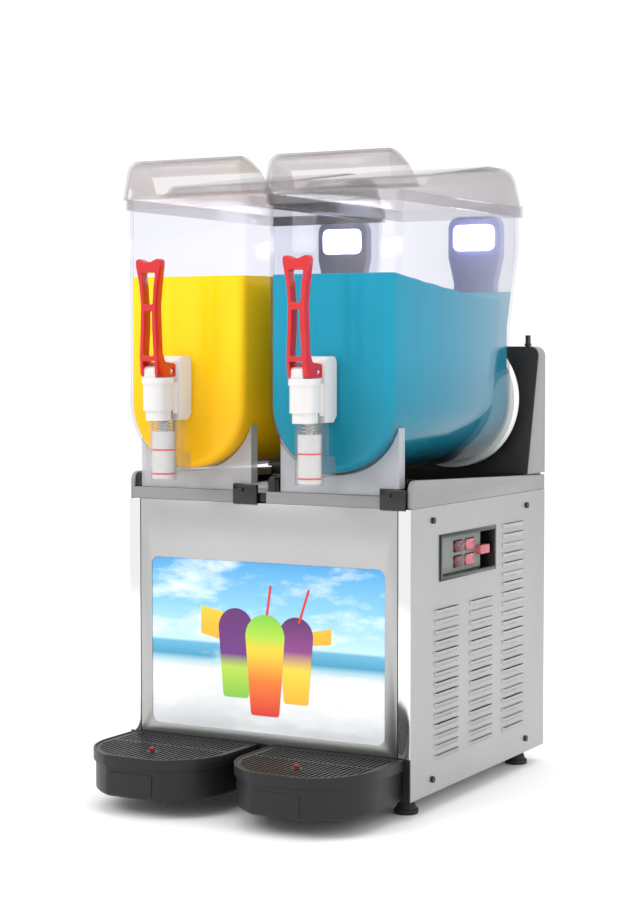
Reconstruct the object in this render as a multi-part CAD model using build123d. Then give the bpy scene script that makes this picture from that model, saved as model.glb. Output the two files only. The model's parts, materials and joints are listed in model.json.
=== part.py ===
from build123d import *
import math
import os

# Twin-bowl slush machine, in millimetres.
# +X is to the right as the customer sees it, -Y is the front, +Z is up, and Z = 0 is the counter.
# Depths are given as distances behind the cabinet's front sheet and turned into Y by back().

# ---------------------------------------------------------------- driving sizes
bowl_width = 170.8          # outside width of one bowl, and twice the radius of its round bottom
bowl_gap = 33.2             # between the two bowls
side_margin = 12.6          # from each bowl to the cabinet's side
bowl_height = 338.0         # from the lowest point of the round bottom to the rim
bowl_overhang = 25.0        # bowl front ahead of the cabinet's front sheet
bowl_seat_depth = 318.0     # cabinet front sheet to the bowl's lower rear face
bowl_rear_step = 28.0       # how much further back the bowl's upper rear wall stands
bowl_wall = 3.0
bowl_clearance = 38.0       # deck plane to the bowl's lowest point
foot_height = 22.0
cabinet_height = 349.0
tower_depth = 61.0          # depth of the rear tower at its foot
tower_height = 193.0        # above the deck plane
tray_reach = 147.0          # drip trays ahead of the cabinet's front sheet
tray_height = 51.0
sheet = 1.0                 # stainless sheet thickness
gland_reach = 8.0           # cord gland behind the rear sheet

# ---------------------------------------------------------------- fits and clearances
running_gap = 0.05          # radial clearance of a shaft in its bore
slip_gap = 0.3              # between pieces that slide past each other

# ---------------------------------------------------------------- drive and cold drum
drum_radius = 58.0
drum_start = 62.0           # front end of the cold drum
drum_wall = 1.5
flange_thickness = 10.0
flange_radius = 88.0
flange_front = bowl_seat_depth + 15.3
gasket_rim = 6.5            # gasket beyond the bowl's round bottom
neck_radius = 34.0
shaft_radius = 7.0
shaft_front = 47.0
auger_thickness = 5.0
auger_pitch = 88.0
auger_margin = 4.4          # auger edge to the bowl's inner wall
auger_gap = 3.0             # auger to the drum
hub_radius = 16.0

# ---------------------------------------------------------------- taps
tap_reach = 44.0            # tap tube axis ahead of the bowl's front
tap_tube_radius = 17.0
tap_bore_radius = 14.5
tap_tube_drop = 8.0         # tube mouth below the bowl's lowest point
tap_tube_length = 73.0
duct_width = 16.0
duct_height = 18.0
duct_wall = 3.0
piston_gap = 0.4
ring_section = 1.0          # half height of an O-ring
stem_radius = 5.0
spring_wire = 0.9
spring_pitch = 4.2
collar_height = 52.0
collar_half = 15.0
lever_length = 134.0        # pivot to the top of the thumb pad
lever_depth = 14.0
pivot_radius = 3.0
pivot_ahead = 24.0          # lever pivot ahead of the piston's stem
pivot_rise = 8.0            # lever pivot above the collar
lever_swing = 30.0          # degrees, pulled forwards
cross_pin_radius = 2.0
leg_thickness = 4.2

# ---------------------------------------------------------------- lids
lip = 1.5                   # bowl rim beyond the bowl's wall
lip_height = 4.0
lid_gap = 0.8               # lid band to the bowl's lip
lid_wall = 2.0
lid_band = 13.0
lid_front_crest = 49.0
lid_rear_crest = 50.0
lid_grip_height = 9.0       # floor of the finger dip between the two crests
lid_grip_at = 80.0          # dip behind the lid's front

# ---------------------------------------------------------------- deck
deck_gap = 3.6              # between the two deck modules
deck_floor = 4.0
deck_wall = 3.0
deck_rim = 12.0
trim_height = 14.8
trim_thickness = 6.0
side_rail_front = 33.7
side_rail_rear = 20.0
end_cap_width = 10.0
end_cap_height = 33.0
catch_width = 34.0
catch_height = 23.0
catch_reach = 2.6           # catch ahead of the cabinet's front sheet
guide_half = 6.0            # half width of the guide that a catch slides on
skirt_margin = 4.4          # skirt edge inside the bowl's outside width
skirt_back = 3.5
skirt_thickness = 3.0
skirt_return = 12.0

# ---------------------------------------------------------------- front, trays and sides
post_width = 16.3
seam = 1.0
window_margin = 34.0        # cabinet side to the window's edge
window_bottom = 87.0
window_top_margin = 73.0    # window's top edge below the deck plane
window_radius = 10.0
print_thickness = 3.0
print_lap = 6.0
bar_height = 50.0
bar_thickness = 12.0
tray_gap = 18.0             # between the two trays
tray_side = 7.0             # tray edge inside the cabinet's side
tray_wall = 3.0
tray_floor = 2.5
tray_band = 13.5            # height of the thicker band round the top
tray_step = 3.0             # how far the body stands back under that band
tongue_width = 14.0
tongue_thickness = 4.0
tongue_length = 46.0
grid_thickness = 4.0
grid_pitch = 6.5
grid_slot = 3.2
float_radius = 9.0
louvre_length = 67.0
louvre_pitch = 12.7
louvre_height = 6.4
louvre_bulge = 3.0
louvre_columns = (66.0, 168.0, 269.0)
louvre_rows = (15, 15, 22)
louvre_bottom = 60.0
recess_start = 80.0         # control recess behind the front sheet
recess_length = 165.0
recess_bottom = 278.0
recess_height = 57.0
recess_depth = 26.0
plate_depth = 8.0           # switch plate behind the side sheet
plate_length = 136.0
rocker_angle = 8.0

# ---------------------------------------------------------------- sizes worked out from the above
bowl_radius = bowl_width / 2
cabinet_half = bowl_width + bowl_gap / 2 + side_margin
bowl_x = (bowl_width + bowl_gap) / 2
tower_front = bowl_seat_depth + 30.0
cabinet_depth = tower_front + tower_depth
overall_depth = tray_reach + cabinet_depth + gland_reach
deck_z = foot_height + cabinet_height
bowl_bottom = deck_z + bowl_clearance
axis_z = bowl_bottom + bowl_radius
rim_z = bowl_bottom + bowl_height
step_z = axis_z + bowl_radius + gasket_rim + 3.0   # where the bowl's rear wall starts to lean back
lean_z = rim_z - 56.0       # where it stands upright again
tower_top = deck_z + tower_height
auger_radius = bowl_radius - bowl_wall - auger_margin
opening_radius = bowl_radius - bowl_wall - 2.0
tap_depth = -bowl_overhang - tap_reach
tube_bottom = bowl_bottom - tap_tube_drop
tube_top = tube_bottom + tap_tube_length
collar_top = tube_top + collar_height
pivot_z = collar_top + pivot_rise
pivot_depth = tap_depth - pivot_ahead
tray_top = foot_height + tray_height
tray_half = (2 * cabinet_half - 2 * tray_side - tray_gap) / 4
tray_x = tray_gap / 2 + tray_half
inner_half = cabinet_half - sheet
sides = {"left": -1, "right": 1}


def back(depth):
    """Y of a point so far behind the cabinet's front sheet."""
    return depth + tray_reach - overall_depth / 2


# ---------------------------------------------------------------- small helpers
def block(x0, x1, d0, d1, z0, z1):
    middle = Pos((x0 + x1) / 2, back((d0 + d1) / 2), (z0 + z1) / 2)
    return middle * Box(x1 - x0, d1 - d0, z1 - z0)


def rod_y(x, z, d0, d1, radius):
    return Pos(x, back((d0 + d1) / 2), z) * Rot(90, 0, 0) * Cylinder(radius, d1 - d0)


def rod_x(depth, z, x0, x1, radius):
    return Pos((x0 + x1) / 2, back(depth), z) * Rot(0, 90, 0) * Cylinder(radius, x1 - x0)


def post(x, depth, z0, z1, radius):
    return Pos(x, back(depth), (z0 + z1) / 2) * Cylinder(radius, z1 - z0)


def side_profile(points, x0, x1, rounds=()):
    """A shape drawn from the side, as (depth, height) points, and pushed from x0 to x1."""
    face = make_face(Polyline([(back(d), z) for d, z in points], close=True))
    for corner, radius in rounds:
        near = face.vertices().sort_by_distance((back(corner[0]), corner[1], 0))[0]
        face = fillet([near], radius)
    return extrude(Plane.YZ.offset(x0) * face, x1 - x0)


def front_profile(face, d0, d1):
    """A face drawn from the front, in X and height, and pushed from depth d0 to d1."""
    return extrude(Plane.XZ.offset(-back(d1)) * face, d1 - d0)


def top_profile(face, z0, z1):
    return extrude(Plane.XY.offset(z0) * face, z1 - z0)


def round_uprights(solid, radius, keep=lambda edge: True):
    uprights = [edge for edge in solid.edges().filter_by(Axis.Z) if keep(edge)]
    return fillet(uprights, radius)


def mirrored(solid):
    return mirror(solid, Plane.YZ)


# ---------------------------------------------------------------- cabinet
def base_pan():
    pan = block(-inner_half, inner_half, bar_thickness, cabinet_depth - sheet,
                foot_height, foot_height + 26)
    hollow = block(-inner_half + 1.5, inner_half - 1.5, bar_thickness + 1.5,
                   cabinet_depth - sheet - 1.5, foot_height + 1.5, foot_height + 30)
    holes = [post(x, d, foot_height - 1, foot_height + 3, 4.2) for x, d in foot_places()]
    low_screws = [place for place in screw_places() if place[1] < foot_height + 26]
    holes += [rod_x(d, z, -cabinet_half, cabinet_half, 2.2) for d, z in low_screws]
    return pan - hollow - holes


def foot_places():
    out = cabinet_half - 24
    return [(x, d) for x in (-out, out) for d in (38, cabinet_depth - 38)]


def feet():
    """Rubber feet on studs, screwed up into the base pan."""
    made = []
    for x, d in foot_places():
        y = back(d)
        sole = Pos(x, y, 0) * Cylinder(15, 6, align=(Align.CENTER, Align.CENTER, Align.MIN))
        waist = Pos(x, y, 6) * Cone(13, 9, foot_height - 10,
                                    align=(Align.CENTER, Align.CENTER, Align.MIN))
        seat = post(x, d, foot_height - 4, foot_height, 14)
        stud = post(x, d, foot_height, foot_height + 12, 4)
        made.append(sole + waist + seat + stud)
    return made


def corner_posts():
    """Polished strips folded round the two front corners."""
    front = block(cabinet_half - post_width, cabinet_half, 0, 1.4, tray_top, deck_z)
    fold = block(inner_half - 1.4, inner_half, 1.4, 16, tray_top, deck_z)
    post_right = front + fold
    return [mirrored(post_right), post_right]


def front_panel():
    half = cabinet_half - post_width - seam
    panel = block(-half, half, 0, sheet, tray_top, deck_z)
    returns = [block(-half, half, sheet, 9, z, z + sheet) for z in (tray_top, deck_z - sheet)]
    window = block(-cabinet_half + window_margin, cabinet_half - window_margin, -5, 5,
                   window_bottom, deck_z - window_top_margin)
    window = fillet(window.edges().filter_by(Axis.Y), window_radius)
    return panel + returns - window


def graphic_panel():
    """Printed acrylic sheet behind the window, lit from behind."""
    half = cabinet_half - window_margin + print_lap
    pane = block(-half, half, sheet, sheet + print_thickness, window_bottom - print_lap,
                 deck_z - window_top_margin + print_lap)
    return fillet(pane.edges().filter_by(Axis.Y), window_radius)


def led_boards():
    """Light boards: four behind the printed sheet, and one in each lamp post."""
    board_half = 30
    made = []
    for x in (-100, -34, 34, 100):
        made.append(block(x - board_half, x + board_half, 14, 15.6, 182, 202))
    for x in (-bowl_x, bowl_x):
        lamp_z = tower_top + lamp_height - 30
        made.append(block(x - board_half, x + board_half, lamp_depth + 12.4, lamp_depth + 14,
                          lamp_z - 10, lamp_z + 10))
    return made


def louvre(x, d0, z0):
    """One pressed hood: a wedge that leans out of the sheet and is open along its top."""
    return side_wedge(x, d0, z0, 0, 0), side_wedge(x, d0, z0, 0.8, sheet)


def side_wedge(x, d0, z0, inset, deep):
    """A wedge along a side sheet; the inset one reaches deep enough to cut the sheet through."""
    low, high = z0 + 1.2 * inset, z0 + louvre_height
    points = [(x - inset - deep, low), (x - inset - deep, high), (x + louvre_bulge - inset, high),
              (x - inset, low)]
    face = make_face(Polyline(points, close=True))
    return front_profile(face, d0 + inset, d0 + louvre_length - inset)


def side_panel(right):
    """Stainless side sheet with rows of pressed louvres. Drawn on the right, mirrored for the left."""
    panel = block(inner_half, cabinet_half, 1.4, cabinet_depth, foot_height, deck_z)
    hoods, hollows = [], []
    for column, rows in zip(louvre_columns, louvre_rows):
        for row in range(rows):
            outer, inner = louvre(cabinet_half, column, louvre_bottom + row * louvre_pitch)
            hoods.append(outer)
            hollows.append(inner)
    if right:
        hollows.append(block(inner_half - 5, cabinet_half + 5, recess_start + 3,
                             recess_start + recess_length - 3, recess_bottom + 3,
                             recess_bottom + recess_height - 3))
    hollows += [rod_x(d, z, inner_half - 2, cabinet_half + 2, 2.2) for d, z in screw_places()]
    panel = panel + hoods - hollows
    return panel if right else mirrored(panel)


def screw_places():
    """Depth and height of the four screws of a side sheet."""
    low, high = foot_height + 17, deck_z - 17
    return [(61, low), (61, high), (cabinet_depth - 62, low + 1), (cabinet_depth - 62, high - 1)]


def screws():
    """Pan-head screws of the side and rear sheets."""
    made = []
    for side in (-1, 1):
        for d, z in screw_places():
            head = rod_x(d, z, cabinet_half, cabinet_half + 2.2, 4)
            shank = rod_x(d, z, cabinet_half - 8, cabinet_half, 2)
            screw = head + shank
            made.append(screw if side > 0 else mirrored(screw))
    for x in (-inner_half + 14, inner_half - 14):
        for z in (foot_height + 40, deck_z - 17):
            head = rod_y(x, z, cabinet_depth, cabinet_depth + 2.2, 4)
            made.append(head + rod_y(x, z, cabinet_depth - 8, cabinet_depth, 2))
    return made


def rear_panel():
    panel = block(-inner_half, inner_half, cabinet_depth - sheet, cabinet_depth,
                  foot_height, deck_z)
    slots = []
    for row in range(14):
        for x in (-90, 0, 90):
            z = 130 + row * 12
            slots.append(block(x - 36, x + 36, cabinet_depth - 5, cabinet_depth + 5, z, z + 4))
    holes = [rod_y(x, z, cabinet_depth - 5, cabinet_depth + 5, 2.2)
             for x in (-inner_half + 14, inner_half - 14)
             for z in (foot_height + 40, deck_z - 17)]
    cord = rod_y(gland_x, gland_z, cabinet_depth - 5, cabinet_depth + 5, 10)
    return panel - slots - holes - cord


gland_x = -120.0
gland_z = foot_height + 48
cord_radius = 4.2


def cord_inlet():
    """Gland that holds the supply cord where it enters through the rear sheet."""
    barrel = rod_y(gland_x, gland_z, cabinet_depth - 14, cabinet_depth, 10)
    flange = rod_y(gland_x, gland_z, cabinet_depth, cabinet_depth + 3, 14)
    nose = rod_y(gland_x, gland_z, cabinet_depth + 3, cabinet_depth + gland_reach, 9)
    nut = rod_y(gland_x, gland_z, cabinet_depth - sheet - 5, cabinet_depth - sheet, 14)
    bore = rod_y(gland_x, gland_z, cabinet_depth - 20, cabinet_depth + 20, cord_radius)
    return barrel + flange + nose + nut - bore


def lower_front_bar():
    """Black bar under the front sheet. Two pairs of tongues carry the drip trays."""
    bar = block(-inner_half, inner_half, 0, bar_thickness, foot_height, tray_top)
    tongues = [block(x - tongue_width / 2, x + tongue_width / 2, -tongue_length, 0,
                     tongue_z, tongue_z + tongue_thickness) for x in tongue_places()]
    return bar + tongues


tongue_z = foot_height + 4.0
tongue_spread = 50.0


def tongue_places():
    return [side * tray_x + offset for side in (-1, 1) for offset in (-tongue_spread, tongue_spread)]


# ---------------------------------------------------------------- drip trays
def tray_outline(inset):
    """Plan of a tray: straight sides, a round nose and a flat front facet."""
    radius = tray_half - inset
    nose = -(tray_reach - 85.0)
    rear = -1.0 - inset
    disc = Pos(0, back(nose)) * Circle(radius)
    body = Pos(0, back((nose + rear) / 2)) * Rectangle(2 * radius, rear - nose)
    keep = Pos(0, back((rear - tray_reach + inset) / 2))
    keep *= Rectangle(2 * radius, tray_reach - inset + rear)
    return (disc + body) & keep


def drip_tray(side):
    centre = Pos(side * tray_x, 0, 0)
    upper = top_profile(tray_outline(0), tray_top - tray_band, tray_top)
    lower = top_profile(tray_outline(tray_step), foot_height, tray_top - tray_band)
    lower = chamfer(lower.faces().sort_by(Axis.Z)[0].edges(), 3)
    facet = block(-30, 30, -tray_reach + 1.2, -tray_reach + 8, foot_height + 4,
                  tray_top - tray_band - 7)
    basin = top_profile(tray_outline(tray_step + tray_wall), basin_z, tray_top + 5)
    ledge = top_profile(tray_outline(tray_wall), tray_top - grid_thickness - 1, tray_top + 5)
    under = top_profile(tray_outline(tray_step + tray_wall + 6), foot_height - 1,
                        basin_z - tray_floor)
    ribs = [block(x - 11, x + 11, -tongue_length - 8, -1 - tray_step, foot_height, basin_z)
            for x in (-tongue_spread, tongue_spread)]
    sockets = [block(x - tongue_width / 2 - slip_gap, x + tongue_width / 2 + slip_gap,
                     -tongue_length - slip_gap, 5, tongue_z - slip_gap,
                     tongue_z + tongue_thickness + slip_gap)
               for x in (-tongue_spread, tongue_spread)]
    guide = post(0, float_depth, basin_z, basin_z + 3, 5)
    tray = upper + lower + facet - basin - ledge - under + ribs - sockets + guide
    return centre * tray


basin_z = foot_height + 14.0
float_depth = -98.0


def tray_grid(side):
    """Loose grid with slots from front to back."""
    edge = tray_outline(tray_wall + slip_gap)
    plate = top_profile(edge, tray_top - grid_thickness - 1, tray_top - 1)
    field = tray_outline(tray_wall + slip_gap + 5)
    count = int((tray_half - 12) / grid_pitch)
    bars = [Pos(i * grid_pitch, 0) * Rectangle(grid_slot, overall_depth * 2)
            for i in range(-count, count + 1)]
    keep = Pos(0, back(-7 - tray_reach / 2)) * Rectangle(2 * tray_half, tray_reach)
    slots = Sketch() + bars
    slots = slots & field & keep
    cross = Pos(0, back(-58)) * Rectangle(2 * tray_half, 4)
    island = Pos(0, back(float_depth)) * Circle(7)
    slots = slots - cross - island
    cut = top_profile(slots, tray_top - 20, tray_top + 20)
    hole = post(0, float_depth, tray_top - 20, tray_top + 20, 3.4)
    return Pos(side * tray_x, 0, 0) * (plate - cut - hole)


def tray_float(side):
    """Red float that rises through the grid when the tray is full."""
    base = basin_z + 3
    disc = post(0, float_depth, base, base + 10, float_radius)
    stem = post(0, float_depth, base + 10, tray_top + 1.5, 3)
    tip = Pos(0, back(float_depth), tray_top + 1.5) * Sphere(3)
    return Pos(side * tray_x, 0, 0) * (disc + stem + tip)


# ---------------------------------------------------------------- deck
def module_edges(side):
    """X of a deck module's left and right edges."""
    inner, outer = deck_gap / 2, cabinet_half - trim_thickness
    return (inner, outer) if side > 0 else (-outer, -inner)


def deck(side):
    """Black drip pan over half of the cabinet's top, with a round-topped post at its left corner."""
    x0, x1 = module_edges(side)
    end = tower_front - 1
    pan = block(x0, x1, trim_thickness, end, deck_z, deck_z + deck_rim)
    hollow = block(x0 + deck_wall, x1 - deck_wall, trim_thickness + deck_wall + 20,
                   end - deck_wall, deck_z + deck_floor, deck_z + deck_rim + 5)
    cap = block(x0, x0 + end_cap_width, trim_thickness, trim_thickness + 14,
                deck_z + deck_rim, deck_z + end_cap_height)
    top = cap.edges().filter_by(Axis.Y).group_by(Axis.Z)[-1]
    cap = fillet(top, 4)
    middle = catch_middle(side)
    guide = block(middle - guide_half, middle + guide_half, 0.6, trim_thickness, deck_z,
                  deck_z + trim_height)
    return pan - hollow + cap + guide


def catch_middle(side):
    """X of a bowl's catch, which stands at its module's right-hand front corner."""
    outer = cabinet_half - trim_thickness - slip_gap - catch_width / 2
    return outer + (side - 1) * bowl_x


def deck_trims():
    """Grey strips along the front of each deck module and along the cabinet's two sides."""
    fronts = []
    for side in (-1, 1):
        x0 = module_edges(side)[0]
        x1 = catch_middle(side) - catch_width / 2 - slip_gap
        fronts.append(block(x0, x1, 0, trim_thickness, deck_z, deck_z + trim_height))
    mid = side_rail_front - 7.3
    points = [(3, deck_z), (3, deck_z + side_rail_front), (20, deck_z + side_rail_front),
              (197, deck_z + mid), (cabinet_depth - 17, deck_z + side_rail_rear),
              (cabinet_depth, deck_z + side_rail_rear), (cabinet_depth, deck_z)]
    rail = side_profile(points, cabinet_half - trim_thickness, cabinet_half,
                        [((3, deck_z + side_rail_front), 12)])
    return fronts + [mirrored(rail), rail]


def bowl_catch(side):
    """Black catch on a guide. Pushed up, it stands in front of the skirt and locks the bowl."""
    middle = catch_middle(side)
    body = block(middle - catch_width / 2, middle + catch_width / 2, -catch_reach,
                 skirt_back - slip_gap, deck_z - 1.5, deck_z + catch_height)
    body = round_uprights(body, 1.5)
    lug = block(middle - catch_width / 2 + 4, middle - catch_width / 2 + 16, -catch_reach - 4,
                -catch_reach, deck_z + catch_height - 9, deck_z + catch_height - 4)
    slot = block(middle - guide_half - slip_gap, middle + guide_half + slip_gap, 0.6 - slip_gap,
                 skirt_back, deck_z - 10, deck_z + trim_height + slip_gap)
    shelf = block(middle - 60, middle + 60, -slip_gap, 60, deck_z - 20, deck_z + slip_gap)
    return body + lug - slot - shelf


# ---------------------------------------------------------------- rear tower
tower_skin = 2.5
tower_lean = ((24.0, 0.0), (95.0, 16.0), (178.0, 35.0))   # height above the deck, set-back


def tower_front_points(shift):
    """Depth and height of the tower's leaning front, moved back by shift."""
    run = [(tower_front + shift, deck_z)]
    run += [(tower_front + setback + shift, deck_z + height) for height, setback in tower_lean]
    run.append((tower_front + tower_lean[-1][1] + 3 + shift, tower_top))
    return run


def tower_outline(half, low):
    face = Pos(0, (low + tower_top) / 2) * Rectangle(2 * half, tower_top - low)
    corners = face.vertices().group_by(Axis.Y)[-1]
    return fillet(corners, 13)


def tower_blank(shift, rear, half):
    """Solid of the tower's outside, narrower low down where the side rails pass."""
    points = tower_front_points(shift) + [(rear, tower_top), (rear, deck_z)]
    slab = side_profile(points, -cabinet_half, cabinet_half)
    wide = front_profile(tower_outline(half, deck_z), 300, cabinet_depth + 10)
    return slab & wide


def rail_notches():
    inner = cabinet_half - trim_thickness
    notch = block(inner, cabinet_half + 1, 250, cabinet_depth + 5, deck_z - 1,
                  deck_z + side_rail_rear + 3)
    return [notch, mirrored(notch)]


def rear_tower():
    """Black front of the tower, leaning back, with round openings for the drum necks."""
    front = tower_blank(0, cabinet_depth, cabinet_half)
    front -= tower_blank(tower_skin, cabinet_depth + 5, cabinet_half + 5)
    necks = [rod_y(x, axis_z, 300, cabinet_depth - 5, neck_radius + 0.2)
             for x in (-bowl_x, bowl_x)]
    return front - necks - rail_notches()


def tower_cover():
    """Grey shell round the tower's sides, top and back, open in front and below."""
    shell = tower_blank(tower_skin, cabinet_depth, cabinet_half)
    hollow = tower_blank(tower_skin - 5, cabinet_depth - 2, cabinet_half - 2)
    hollow = hollow & block(-300, 300, 200, 600, deck_z - 1, tower_top - 2)
    inner = cabinet_half - trim_thickness
    shell = shell - hollow - rail_notches()
    cheek = block(inner - 2, inner, tower_front + 6, cabinet_depth - 2, deck_z,
                  deck_z + side_rail_rear + 5)
    ledge = block(inner - 2, cabinet_half - 2, tower_front + 12, cabinet_depth - 2,
                  deck_z + side_rail_rear + 3, deck_z + side_rail_rear + 5)
    front = tower_blank(-20, tower_front + 8, cabinet_half)
    cheeks = [piece - front for piece in (cheek + ledge, mirrored(cheek + ledge))]
    vents = [block(x - 30, x + 30, cabinet_depth - 10, cabinet_depth + 5, z, z + 4)
             for x in (-bowl_x, bowl_x) for z in (deck_z + 120, deck_z + 132, deck_z + 144)]
    holes = [post(side * knob_x(), knob_depth(), tower_top - 10, tower_top + 5, 2.6)
             for side in (-1, 1)]
    return shell + cheeks - vents - holes


def knob_x():
    return cabinet_half - 20


def knob_depth():
    return cabinet_depth - 13


def thickness_knob(side):
    """Screw that sets how thick the slush gets before its gearmotor stops."""
    x = side * knob_x()
    head = post(x, knob_depth(), tower_top + 4, tower_top + 15, 3.6)
    collar = post(x, knob_depth(), tower_top + 0.3, tower_top + 4, 4.6)
    flats = block(x - 0.6, x + 0.6, knob_depth() - 5, knob_depth() + 5, tower_top + 13,
                  tower_top + 16)
    shank = post(x, knob_depth(), tower_top - 16, tower_top + 1, 2.6 - running_gap)
    return head + collar + shank - flats


lamp_height = 177.0
lamp_width = 77.0
lamp_foot = 60.0
lamp_thickness = 17.0
lamp_depth = tower_front + 41.0


def lamp_posts():
    """Translucent lamp housings that stand on the tower behind the bowls."""
    made = []
    for x in (-bowl_x, bowl_x):
        outer = lamp_shape(x, 0)
        inner = lamp_shape(x, 2.5)
        made.append(outer - inner)
    return made


def lamp_shape(x, inset):
    top, low = tower_top + lamp_height - inset, tower_top - (inset > 0)
    wide, narrow = lamp_width / 2 - inset, lamp_foot / 2 - inset
    points = [(x - narrow, low), (x - narrow, top - 90), (x - wide, top - 55), (x - wide, top),
              (x + wide, top), (x + wide, top - 55), (x + narrow, top - 90), (x + narrow, low)]
    face = make_face(Polyline(points, close=True))
    corners = face.vertices().group_by(Axis.Y)[-1]
    face = fillet(corners, 16 - inset)
    return front_profile(face, lamp_depth + inset, lamp_depth + lamp_thickness - inset)


# ---------------------------------------------------------------- cold drum and drive
def evaporators():
    """Stainless cold drums, each with a rear flange and a neck that passes into the tower."""
    return [evaporator(-1), evaporator(1)]


def evaporator(side):
    bore = shaft_radius + running_gap
    back_end = tower_front + 26
    neck_wall = 3.0
    flange_back = flange_front + flange_thickness
    section = [(bore, drum_start), (drum_radius, drum_start), (drum_radius, flange_front),
               (flange_radius, flange_front), (flange_radius, flange_back),
               (neck_radius, flange_back), (neck_radius, back_end),
               (neck_radius - neck_wall, back_end), (neck_radius - neck_wall, flange_back - 2),
               (drum_radius - drum_wall, flange_back - 2), (drum_radius - drum_wall, drum_start + 3),
               (bore + 2.5, drum_start + 3), (bore + 2.5, back_end), (bore, back_end)]
    face = make_face(Polyline(section, close=True))
    turned = revolve(Plane(origin=(side * bowl_x, back(0), axis_z), x_dir=(1, 0, 0), z_dir=(0, 0, 1))
                     * face, Axis((side * bowl_x, 0, axis_z), (0, 1, 0)))
    return turned


def bowl_gaskets():
    """White sealing rings between each bowl's rear and its drum's flange."""
    made = []
    for x in (-bowl_x, bowl_x):
        ring = rod_y(x, axis_z, bowl_seat_depth + slip_gap, flange_front, bowl_radius + gasket_rim)
        ring -= rod_y(x, axis_z, bowl_seat_depth - 5, flange_front + 5, opening_radius + 1)
        made.append(ring)
    return made


def drive_shaft(side):
    return rod_y(side * bowl_x, axis_z, shaft_front, tower_front + 54, shaft_radius)


def auger(side):
    """White spiral that turns round the drum and pushes the slush towards the tap."""
    inner = drum_radius + auger_gap
    ring_front = drum_start - 13
    ring_back = ring_front + 7
    length = bowl_seat_depth - 8 - ring_back
    spread = math.radians(180 * auger_thickness / auger_pitch)
    reach = 2 * auger_radius
    corners = [(reach * math.cos(angle), reach * math.sin(angle)) for angle in (-spread, spread)]
    wedge = make_face(Polyline([(0, 0)] + corners, close=True))
    band = Circle(auger_radius) - Circle(inner)
    spiral = Solid.extrude_linear_with_rotation((band & wedge).faces()[0], center=(0, 0, 0),
                                                normal=(0, 0, length),
                                                angle=360 * length / auger_pitch)
    spiral = Pos(side * bowl_x, back(ring_back), axis_z) * Rot(-90, 0, 0) * spiral
    hub = rod_y(side * bowl_x, axis_z, shaft_front - 9, drum_start - 1.5, hub_radius)
    ring = rod_y(side * bowl_x, axis_z, ring_front, ring_back, auger_radius)
    ring -= rod_y(side * bowl_x, axis_z, ring_front - 20, ring_back + 20, inner)
    arms = []
    for turn in range(3):
        arm = block(0, inner + 3, ring_front, ring_back, -5, 5)
        arms.append(Pos(side * bowl_x, 0, axis_z) * Rot(0, 120 * turn, 0) * arm)
    bore = rod_y(side * bowl_x, axis_z, shaft_front, 100, shaft_radius + 0.02)
    return hub + arms + ring + spiral - bore


def gearmotors():
    """A flat worm gearbox behind each drum, with its motor hanging down into the cabinet."""
    made = []
    d0, d1 = tower_front + 27, cabinet_depth - 4
    motor_radius = 25.0
    motor_depth = d1 - motor_radius
    room = tower_blank(tower_skin + 1, cabinet_depth, cabinet_half)
    for x in (-bowl_x, bowl_x):
        box = block(x - 38, x + 38, d0, d1, axis_z - 44, axis_z + 34)
        box = fillet(box.edges().filter_by(Axis.Y), 8) & room
        neck = post(x + 20, motor_depth + 6, axis_z - 97, axis_z - 43, 11)
        motor = post(x + 20, motor_depth, axis_z - 197, axis_z - 97, motor_radius)
        bore = rod_y(x, axis_z, d0 - 5, d1 + 5, shaft_radius + running_gap)
        made.append(box + neck + motor - bore)
    return made


# ---------------------------------------------------------------- bowls
def u_shape(x, half, low_radius, top):
    disc = Pos(x, axis_z) * Circle(low_radius)
    upper = Pos(x, (axis_z + top) / 2) * Rectangle(2 * half, top - axis_z)
    return disc + upper


def bowl_blank(x, inset, top):
    """The bowl's outside, or its inside at the wall's thickness: a deep U with a leaning rear."""
    front = -bowl_overhang + inset
    lower, upper = bowl_seat_depth - inset, bowl_seat_depth + bowl_rear_step - inset
    radius = bowl_radius - inset
    solid = front_profile(u_shape(x, radius, radius, top), front, upper)
    nose = solid.faces().sort_by(Axis.Y)[0].edges()
    nose = [edge for edge in nose if edge.center().Z < top - 1]
    solid = fillet(nose, 15 - inset)
    spare = [(lower, 0), (lower, step_z), (upper, lean_z), (upper, top + 1), (upper + 9, top + 1),
             (upper + 9, 0)]
    return solid - side_profile(spare, x - 200, x + 200)


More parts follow.
